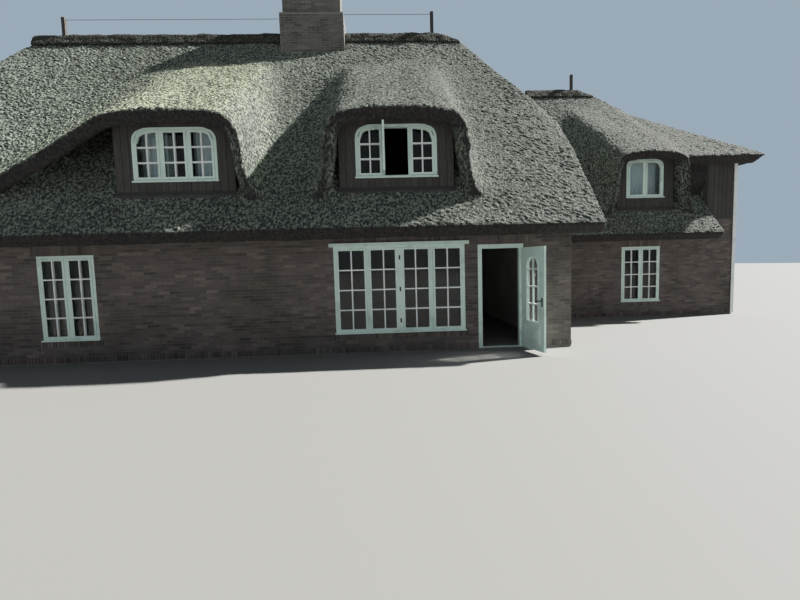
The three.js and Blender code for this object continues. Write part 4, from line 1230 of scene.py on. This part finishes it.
def courses_under(roof, x, y0, y1, foot, top):
    """What a roof that leans on the gable covers of each course, from the roof's face to far behind it."""
    tree = tree_of([roof])
    low, high = (tree.ray_cast(Vector((x, y, top + FAR_OFF)), Vector((0, 0, -1)))[0].z for y in (y0, y1))
    covered = []
    for row in range(math.ceil((top - foot) / COURSE)):
        z = foot + row * COURSE
        start = y0 + (y1 - y0) * (z - low) / (high - low) + COURSE
        covered.append((start, y1 + FAR_OFF, z, z + BRICK_HEIGHT))
    return covered


def build_walls(brick, chimney_brick):
    def lay(name, seed, face, span, top, openings=(), **others):
        build_brickwork(name + "_bricks", face, span, top, openings, brick, SEED + seed, **others)

    length = (-HOUSE_END_X, HOUSE_END_X)
    front = WallFace(FRONT, "front_wall", "front_wall_door_pier", "front_wall_door_lintel")
    lay("front_wall", 31, front, length, SOFFIT_Z, ["big_window", "left_window", "door_frame"])
    lay("back_wall", 32, WallFace(BACK, "back_wall"), length, SOFFIT_Z, ["back_window"])
    left = WallFace(LEFT, "left_gable_wall", "front_wall", "back_wall")
    lay("left_gable", 33, left, (-BACK_Y, -FACADE_Y), GABLE_TOP_Z)
    right = WallFace(RIGHT, "right_gable_wall", "front_wall_door_pier")
    lay("right_gable", 34, right, (FACADE_Y, GABLE_LOWER_END_Y), GABLE_TOP_Z)
    covered = courses_under("wing_roof_front", *ROOF_PROBES, GABLE_UPPER_FOOT_Z, GABLE_TOP_Z)
    lay("right_gable_upper", 39, right, GABLE_UPPER_SPAN, GABLE_TOP_Z,
        foot=GABLE_UPPER_FOOT_Z, plinth=False, covered=covered)
    wing_front = WallFace(FRONT, "wing_front_wall")
    lay("wing_front", 35, wing_front, (WING_LOW.x, WING_HIGH.x), SOFFIT_Z, ["wing_lower_window"])
    wing_end = WallFace(RIGHT, "wing_end_wall", "wing_front_wall", "wing_back_wall")
    lay("wing_end", 36, wing_end, (WING_LOW.y, WING_FAR_Y), CLADDING_Z)
    lay("wing_back", 37, WallFace(BACK, "wing_back_wall"), (-WING_HIGH.x, -WING_LOW.x), SOFFIT_Z)
    party = WallFace(LEFT, "wing_party_wall", "wing_back_wall")
    lay("wing_party", 38, party, (-WING_FAR_Y, -BACK_Y), GABLE_TOP_Z)
    for i, (side, out) in enumerate(zip(("front", "back", "left", "right"), (FRONT, BACK, LEFT, RIGHT))):
        face = WallFace(out, "chimney")
        span, top = face.reach(face.along), face.box[1].z
        build_brickwork("chimney_bricks_" + side, face, span, top, [], chimney_brick, SEED + 40 + i,
                        foot=CHIMNEY_SHOWS_Z, plinth=False, slot_name="chimney_brick")


# Boarding


def build_boards(name, face, start, end, foot, head, finish, seed):
    """Upright boards over a turned face, cut to follow its edges."""
    pile = Pile()
    draw = random.Random(seed)
    count = max(1, round((end - start) / (BOARD_WIDTH + BOARD_GAP)))
    step = (end - start) / count
    for k in range(count):
        c0 = start + k * step + BOARD_GAP / 2
        c1 = c0 + step - BOARD_GAP
        left = face.runs(foot, head, c0 + EDGE_INSET, c0 + 2 * EDGE_INSET)
        right = face.runs(foot, head, c1 - 2 * EDGE_INSET, c1 - EDGE_INSET)
        if len(left) != len(right):
            left = right = face.runs(foot, head, c0 + EDGE_INSET, c1 - EDGE_INSET)
        out = BOARD_PROUD + sway(draw, BOARD_SWAY)
        tone = draw.random()
        for (low0, high0, depth), (low1, high1, _) in zip(left, right):
            corners = [(low0, c0), (high0, c0), (high1, c1), (low1, c1)]
            face.block(pile, corners, depth + out, depth - BOARD_BEHIND, tone)
    pile.piece(name, finish, "dark_boards", BOARD_EASE)


def build_cladding(finish):
    """Boards on the dormers, and over the bricks at the raised end of the wing."""
    for i, dormer in enumerate(DORMERS):
        face = WallFace(BACK if dormer == "back" else FRONT, dormer + "_dormer_front", turned=True)
        start, end = face.reach(face.across)
        foot, head = face.box[0].z + 2 * EDGE_INSET, face.box[1].z
        build_boards(dormer + "_dormer_boards", face, start + EDGE_INSET, end - EDGE_INSET, foot, head,
                     finish, SEED + 50 + i)
    sides = ("wing_front_wall", "wing_back_wall")
    over_wall = SOFFIT_Z + OVER_SOFFIT
    faces = (
        ("front", FRONT, sides[:1], -WING_HIGH.x + EDGE_INSET, -WING_END_ROOM_X, over_wall),
        ("end", RIGHT, ("wing_end_wall", *sides), -WING_FAR_Y + EDGE_INSET, -WING_LOW.y - EDGE_INSET,
         CLADDING_Z),
        ("back", BACK, sides[1:], WING_END_ROOM_X, WING_HIGH.x - EDGE_INSET, over_wall),
    )
    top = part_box("wing_end_wall")[1].z
    for i, (side, out, parts, start, end, foot) in enumerate(faces):
        face = WallFace(out, *parts, turned=True)
        build_boards(f"wing_{side}_cladding", face, start, end, foot, top, finish, SEED + 54 + i)


def build_apron(dormer, finish):
    """A board laid on the thatch along the foot of a dormer front."""
    low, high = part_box(dormer + "_dormer_front")
    out, face = (1, high.y) if dormer == "back" else (-1, low.y)
    foot = low.z + DORMER_FOOT_SHOWS
    behind, before = face - out * APRON_BEHIND, face + out * APRON_REACH
    drop = APRON_REACH * SLOPE_RISE
    section = [
        (behind, foot + APRON_RISE), (before, foot - drop + APRON_RISE),
        (before, foot - drop - APRON_SINK), (behind, foot - APRON_SINK),
    ]
    if out > 0:
        section.reverse()
    board = Pile()
    ends = (low.x - APRON_PAST, high.x + APRON_PAST)
    board.solid([(x, y, z) for x in ends for y, z in section], BLOCK_FACES)
    board.piece(dormer + "_dormer_apron", finish, "dark_boards", APRON_EASE)


def build_corner_boards(finish):
    """White boards that close the two free corners of the wing."""
    width, thick, off_wall, top = CORNER_BOARD.values()
    x = WING_HIGH.x + off_wall
    pile = Pile()
    for y, towards in ((WING_LOW.y - off_wall, 1), (WING_FAR_Y + off_wall, -1)):
        for start, reach in ((x - width, -towards * thick), (x, towards * width)):
            pile.box(start, x + thick, min(y, y + reach), max(y, y + reach), WALL_FOOT_Z, top, 1.0)
    pile.piece("wing_corner_boards", finish, "painted_wood", EASE)


# Casements


def spread(start, end, count):
    return [start + (end - start) * i / (count - 1) for i in range(count)]


def head_limit(left, right, top, corner):
    """The height of a window head with rounded corners, at each x."""
    width = CORNER_WIDTH * corner

    def limit(x):
        near = max(min(x - left, right - x), 0.0)
        if corner == 0 or near >= width:
            return top
        return top - corner * (1 - math.sqrt(near / width)) ** 2

    return limit


def cut_rectangle(x0, x1, z0, z1, limit):
    """A rectangle whose head follows the limit where that is lower."""
    if min(limit(x0), limit(x1)) >= z1:
        return rectangle(x0, x1, z0, z1)
    head = [(x, max(z0 + LEAST_HEIGHT, min(z1, limit(x)))) for x in spread(x1, x0, CORNER_POINTS)]
    return [(x0, z0), (x1, z0)] + head


def casement(pile, left, right, bottom, top, panes, limits, front, back):
    """A sash with its bars, between two values of Y. The limits are those of its outside and its glass."""
    outside, inside = limits
    ring = cut_rectangle(*inset((left, right, bottom, top), SASH_CLEARANCE), outside)
    pane = inset((left, right, bottom, top), STILE)
    pile.plate([ring, cut_rectangle(*pane, inside)], front, back, SASH_WHITE)
    columns, rows = panes
    if columns * rows == 1:
        return
    x0, x1, z0, z1 = pane
    width = (x1 - x0 - (columns - 1) * BAR) / columns
    height = (z1 - z0 - (rows - 1) * BAR) / rows
    grid = [cut_rectangle(*inset(pane, -BAR_LAP), lambda x: inside(x) + BAR_LAP)]
    for column in range(columns):
        for row in range(rows):
            px, pz = x0 + column * (width + BAR), z0 + row * (height + BAR)
            grid.append(cut_rectangle(px, px + width, pz, pz + height, inside))
    pile.plate(grid, front + BAR_SETBACK, back - BAR_BEHIND, BAR_WHITE)


def build_casements(name, paint, iron):
    """The sashes of a window with their bars and hinges, and its sill."""
    casements, panes, corner = WINDOWS[name]
    low, high = window_hole(name)
    if name.startswith("back"):
        out, front, back = 1, high.y + SASH_OFF_GLASS, low.y + GLASS_INSET + SASH_PROUD
    else:
        out, front, back = -1, high.y - GLASS_THICKNESS - GLASS_INSET - SASH_PROUD, low.y - SASH_OFF_GLASS
    face_y = back if out > 0 else front

    def box_out(pile, x0, x1, near, far, z0, z1, tone=SASH_WHITE):
        pile.box(x0, x1, *sorted((face_y + out * near, face_y + out * far)), z0, z1, tone)

    def hinges_at(pile, x, tone, shares, half, near, far, tall):
        for share in shares:
            z = bottom + share * (top - bottom)
            box_out(pile, x - half, x + half, near, far, z - tall, z + tall, tone)

    bottom, top = low.z + FRAME_FACE, high.z - FRAME_FACE
    corner *= FRAME_CORNER
    limits = [
        head_limit(low.x + FRAME_FACE + edge, high.x - FRAME_FACE - edge, top - edge, rounding)
        for edge, rounding in ((SASH_CLEARANCE, corner), (STILE, max(corner - 0.5 * STILE, 0.0)))
    ]
    width = (high.x - low.x - 2 * FRAME_FACE - (casements - 1) * MULLION) / casements
    pile = Pile()
    for i in range(casements):
        left = low.x + FRAME_FACE + i * (width + MULLION)
        if (name, i) != OPEN_CASEMENT:
            casement(pile, left, left + width, bottom, top, panes, limits, front, back)
            side = left if i < casements / 2 else left + width
            hinges_at(pile, side, SASH_WHITE, *PAINTED_HINGES.values())
    past, near, far, foot, head = WINDOW_SILL.values()
    box_out(pile, low.x - past, high.x + past, near, far, low.z + foot, low.z + head)
    if name == "big_window":
        middle = (low.x + high.x) / 2
        half, near, far, off_ends = MIDDLE_STRIP.values()
        box_out(pile, middle - half, middle + half, near, far, bottom + off_ends, top - off_ends)
        hinges = Pile()
        hinges_at(hinges, middle, 0.5, *IRON_HINGES.values())
        hinges.piece(name + "_hinges", iron, "black_iron", IRON_EASE)
    pile.piece(name + "_casements", paint, "painted_wood", EASE)


def build_open_casement(paint, glass):
    """The right dormer's middle casement, standing open square to the window, with its own pane."""
    low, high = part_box("right_dormer_open_casement")
    width, thick = high.y - low.y, high.x - low.x
    turn = Matrix(((0, 1, 0, low.x), (-1, 0, 0, high.y), (0, 0, 1, 0), (0, 0, 0, 1)))
    level = head_limit(0, width, high.z + 1, 0)
    pile = Pile()
    casement(pile, 0, width, low.z, high.z, WINDOWS[OPEN_CASEMENT[0]][1], (level, level), 0, thick)
    sash = pile.piece("right_dormer_open_casement_sash", paint, "painted_wood", EASE, turn)
    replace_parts(sash, "right_dormer_open_casement")
    x0, x1, z0, z1 = inset((0, width, low.z, high.z), STILE - BAR_LAP)
    pane = Pile()
    pane.box(x0, x1, thick + OPEN_PANE[0], thick + OPEN_PANE[1], z0, z1)
    pane.piece("right_dormer_open_casement_glass", glass, "glass", turn=turn)


# The front door


def arch(margin):
    """The outline of the door's round-headed pane, larger by a margin."""
    left, right = PANE_LEFT - margin, PANE_RIGHT + margin
    middle, half = (left + right) / 2, (right - left) / 2
    rise = PANE_RISE + margin
    outline = [(left, PANE_BOTTOM - margin), (right, PANE_BOTTOM - margin)]
    for turn in spread(0, math.pi, ARCH_POINTS):
        outline.append((middle + half * math.cos(turn), PANE_SPRING + rise * math.sin(turn)))
    return outline


def arch_limit(x):
    """The height of the pane's round head at each x."""
    share = min(abs(2 * (x - (PANE_LEFT + PANE_RIGHT) / 2) / (PANE_RIGHT - PANE_LEFT)), 1.0)
    return PANE_SPRING + PANE_RISE * math.sqrt(1 - share * share)


def fielded_panel(pile, panel, y, out):
    """A panel whose middle stands forward between sloping margins."""
    points = []
    for margin, forward in PANEL_RINGS:
        points += [(x, y + out * forward, z) for x, z in rectangle(*inset(panel, margin))]
    faces = [(3, 2, 1, 0), (8, 9, 10, 11)]
    for ring in (0, 4):
        faces += [(ring + k, ring + (k + 1) % 4, ring + 4 + (k + 1) % 4, ring + 4 + k) for k in range(4)]
    if out > 0:
        faces = [face[::-1] for face in faces]
    pile.solid(points, faces, DOOR_TONES["panel"])


def build_door(paint):
    """Glazing bars, mouldings and the lower panel of the door, on both of its faces."""
    pile = Pile()
    outer, inner = DOOR_FACE_Y, DOOR_FACE_Y + LEAF_THICKNESS
    middle = (outer + inner) / 2
    across = (PANE_LEFT + PANE_RIGHT) / 2
    half = BAR / 2
    marks = spread(PANE_BOTTOM - half, PANE_SPRING, DOOR_ROWS + 1) + [PANE_SPRING + PANE_RISE + half]
    grid = [arch(BAR_LAP)]
    for low, high in zip(marks, marks[1:]):
        for x0, x1 in ((PANE_LEFT, across - half), (across + half, PANE_RIGHT)):
            grid.append(cut_rectangle(x0, x1, low + half, high - half, arch_limit))
    for face, out in ((outer, -1), (inner, 1)):
        near, far = sorted((middle + out * BAR_OFF_MIDDLE, face - out * BAR_BELOW_FACE))
        pile.plate(grid, near, far, DOOR_TONES["bars"])
        near, far = sorted(face + out * depth for depth in MOULDING_DEPTHS)
        pile.plate([arch(margin) for margin in ARCH_MOULDING], near, far, DOOR_TONES["arch"])
        frame = [rectangle(*inset(DOOR_PANEL, -MOULDING)), rectangle(*DOOR_PANEL)]
        pile.plate(frame, near, far, DOOR_TONES["moulding"])
        fielded_panel(pile, inset(DOOR_PANEL, PANEL_INSET), face, out)
    side, near, far, foot, head = RAIN_BOARD.values()
    pile.box(LEAF_LEFT + side, LEAF_RIGHT - side, outer - far, outer - near,
             LEAF_BOTTOM + foot, LEAF_BOTTOM + head, DOOR_TONES["rain_board"])
    hinge = Matrix.Translation((*DOOR_HINGE, 0))
    turn = hinge @ Matrix.Rotation(DOOR_OPEN, 4, "Z") @ hinge.inverted()
    pile.piece("door_mouldings", paint, "painted_wood", DOOR_EASE, turn, "front_door")


# Curtains


def curtain_mesh(name, left, right, y, top, bottom, seed):
    """A gathered curtain, its folds tight at the rod and fuller at the hem. Also gives its flat width."""
    draw = random.Random(seed)
    columns = int((right - left) / CURTAIN_STEP) + 1
    phase, drift = draw.uniform(*FOLD_PHASES), draw.uniform(*FOLD_DRIFTS)
    rows = []
    for row in range(CURTAIN_ROWS):
        down = row / (CURTAIN_ROWS - 1)
        depth = FOLD_DEPTH * (DEPTH_AT_ROD + DEPTH_GAINED * down)
        line = []
        for x in (left + (right - left) * column / (columns - 1) for column in range(columns)):
            turn = 2 * math.pi * (x - left) / FOLD_PITCH + phase + drift * math.sin(DRIFT_WAVE * x)
            turn += HEM_DRIFT * down * math.sin(HEM_WAVE * x)
            line.append((x + FOLD_SWING * down * math.sin(0.5 * turn), y + depth * math.sin(turn)))
        rows.append((top + (bottom - top) * down, line))
    lengths = [sum(math.dist(a, b) for a, b in zip(line, line[1:])) for _, line in rows]
    points = []
    for side in (-1, 1):
        points += [(x, fold + side * CLOTH_THICKNESS / 2, z) for z, line in rows for x, fold in line]
    back = columns * CURTAIN_ROWS
    faces = []
    for row in range(CURTAIN_ROWS - 1):
        for column in range(columns - 1):
            a = row * columns + column
            faces.append((a, a + columns, a + columns + 1, a + 1))
            faces.append((back + a, back + a + 1, back + a + columns + 1, back + a + columns))
    rim = list(range(columns)) + [row * columns + columns - 1 for row in range(1, CURTAIN_ROWS)]
    rim += [back - 1 - k for k in range(1, columns)]
    rim += [row * columns for row in range(CURTAIN_ROWS - 2, 0, -1)]
    for a, b in zip(rim, rim[1:] + rim[:1]):
        faces.append((a, b, b + back, a + back))
    mesh = bpy.data.meshes.new(name)
    mesh.from_pydata(points, [], faces)
    return mesh, sum(lengths) / len(lengths)


def hang_curtains(dormer, shares, cloth, iron, seed):
    """A rod inside the wall over a window, and a curtain over each of the given shares of its width."""
    window = dormer + "_window"
    wall_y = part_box(dormer + "_front")[1].y
    low, high = window_hole(window)
    width = high.x - low.x
    rod_z = high.z + ROD_OVER_WINDOW
    y = wall_y + CURTAIN_OFF_WALL
    rod = Pile()
    rod.rod((low.x - ROD_PAST, y, rod_z), (high.x + ROD_PAST, y, rod_z), ROD_RADIUS)
    for x in (low.x - BRACKET_PAST, high.x + BRACKET_PAST):
        rod.rod((x, wall_y - BRACKET_INTO_WALL, rod_z), (x, y, rod_z), BRACKET_RADIUS)
    rod_name = window + "_curtain_rod"
    rod.piece(rod_name, iron, "black_iron")
    top, bottom = rod_z - CURTAIN_BELOW_ROD, low.z - CURTAIN_PAST_SILL
    for i, (start, end) in enumerate(shares):
        name = f"{window}_curtain_{i + 1}"
        mesh, flat = curtain_mesh(name, low.x + start * width, low.x + end * width, y, top, bottom, seed + i)
        mesh.materials.append(cloth)
        piece = linked(name, mesh)
        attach(piece, "house")


# Finishes of the model's own solids


def dress_nodes(finishes):
    """Gives every solid of the model its finish, by what its name says it is."""
    kinds = (
        ("glass", "glass"), ("handle", "iron"), ("door_leaf", "paint"), ("casement", "paint"),
        ("frame", "paint"), ("stake", "post"), ("cap", "heather"), ("chimney", "chimney"), ("slab", "slab"),
        ("floor", "boards"), ("dormer_front", "cladding"), ("hood", "thatch"), ("roof", "thatch"),
        ("wall", "wall"),
    )
    for name, node in nodes.items():
        kind = next(finish for word, finish in kinds if word in name)
        for holder in node.material_slots:
            holder.material = finishes[kind]


def main():
    place_camera()
    light_stage()
    lay_floor()
    finishes = {
        "thatch": thatch_material("thatch_finish", REED, 0.20),
        "heather": thatch_material("heather_finish", HEATHER, 0.45),
        "wall": wall_material("wall_finish", WALL_MORTAR),
        "chimney": wall_material("chimney_finish", CHIMNEY_MORTAR, limewashed=False),
        "cladding": board_material("dark_boards_finish", *DARK_BOARDS),
        "post": board_material("post_finish", *POSTS),
        "boards": board_material("floor_boards_finish", *FLOOR_BOARDS, scale=(0.08, 1.0, 1.0)),
        "paint": paint_material(),
        "glass": glass_material(),
        "slab": slab_material(),
        "iron": iron_material(),
    }
    paint, iron, boards = finishes["paint"], finishes["iron"], finishes["cladding"]
    dress_nodes(finishes)
    build_main_thatch(finishes["thatch"])
    build_wing_thatch(finishes["thatch"])
    for i, cap in enumerate(("ridge_cap_left", "ridge_cap_right", "wing_ridge_cap")):
        build_ridge(cap, finishes["heather"], SEED + 70 + i, cap != "ridge_cap_left")
    string_conductor(iron)
    build_walls(brick_material("brick_finish", BRICK), brick_material("chimney_brick_finish", CHIMNEY_BRICK))
    build_cladding(boards)
    for dormer in DORMERS:
        build_apron(dormer, boards)
    build_corner_boards(paint)
    for name in WINDOWS:
        build_casements(name, paint, iron)
    build_open_casement(paint, finishes["glass"])
    build_door(paint)
    cloth = curtain_material()
    for i, (dormer, shares) in enumerate(CURTAINS.items()):
        hang_curtains(dormer, shares, cloth, iron, SEED + 80 + 10 * i)


main()
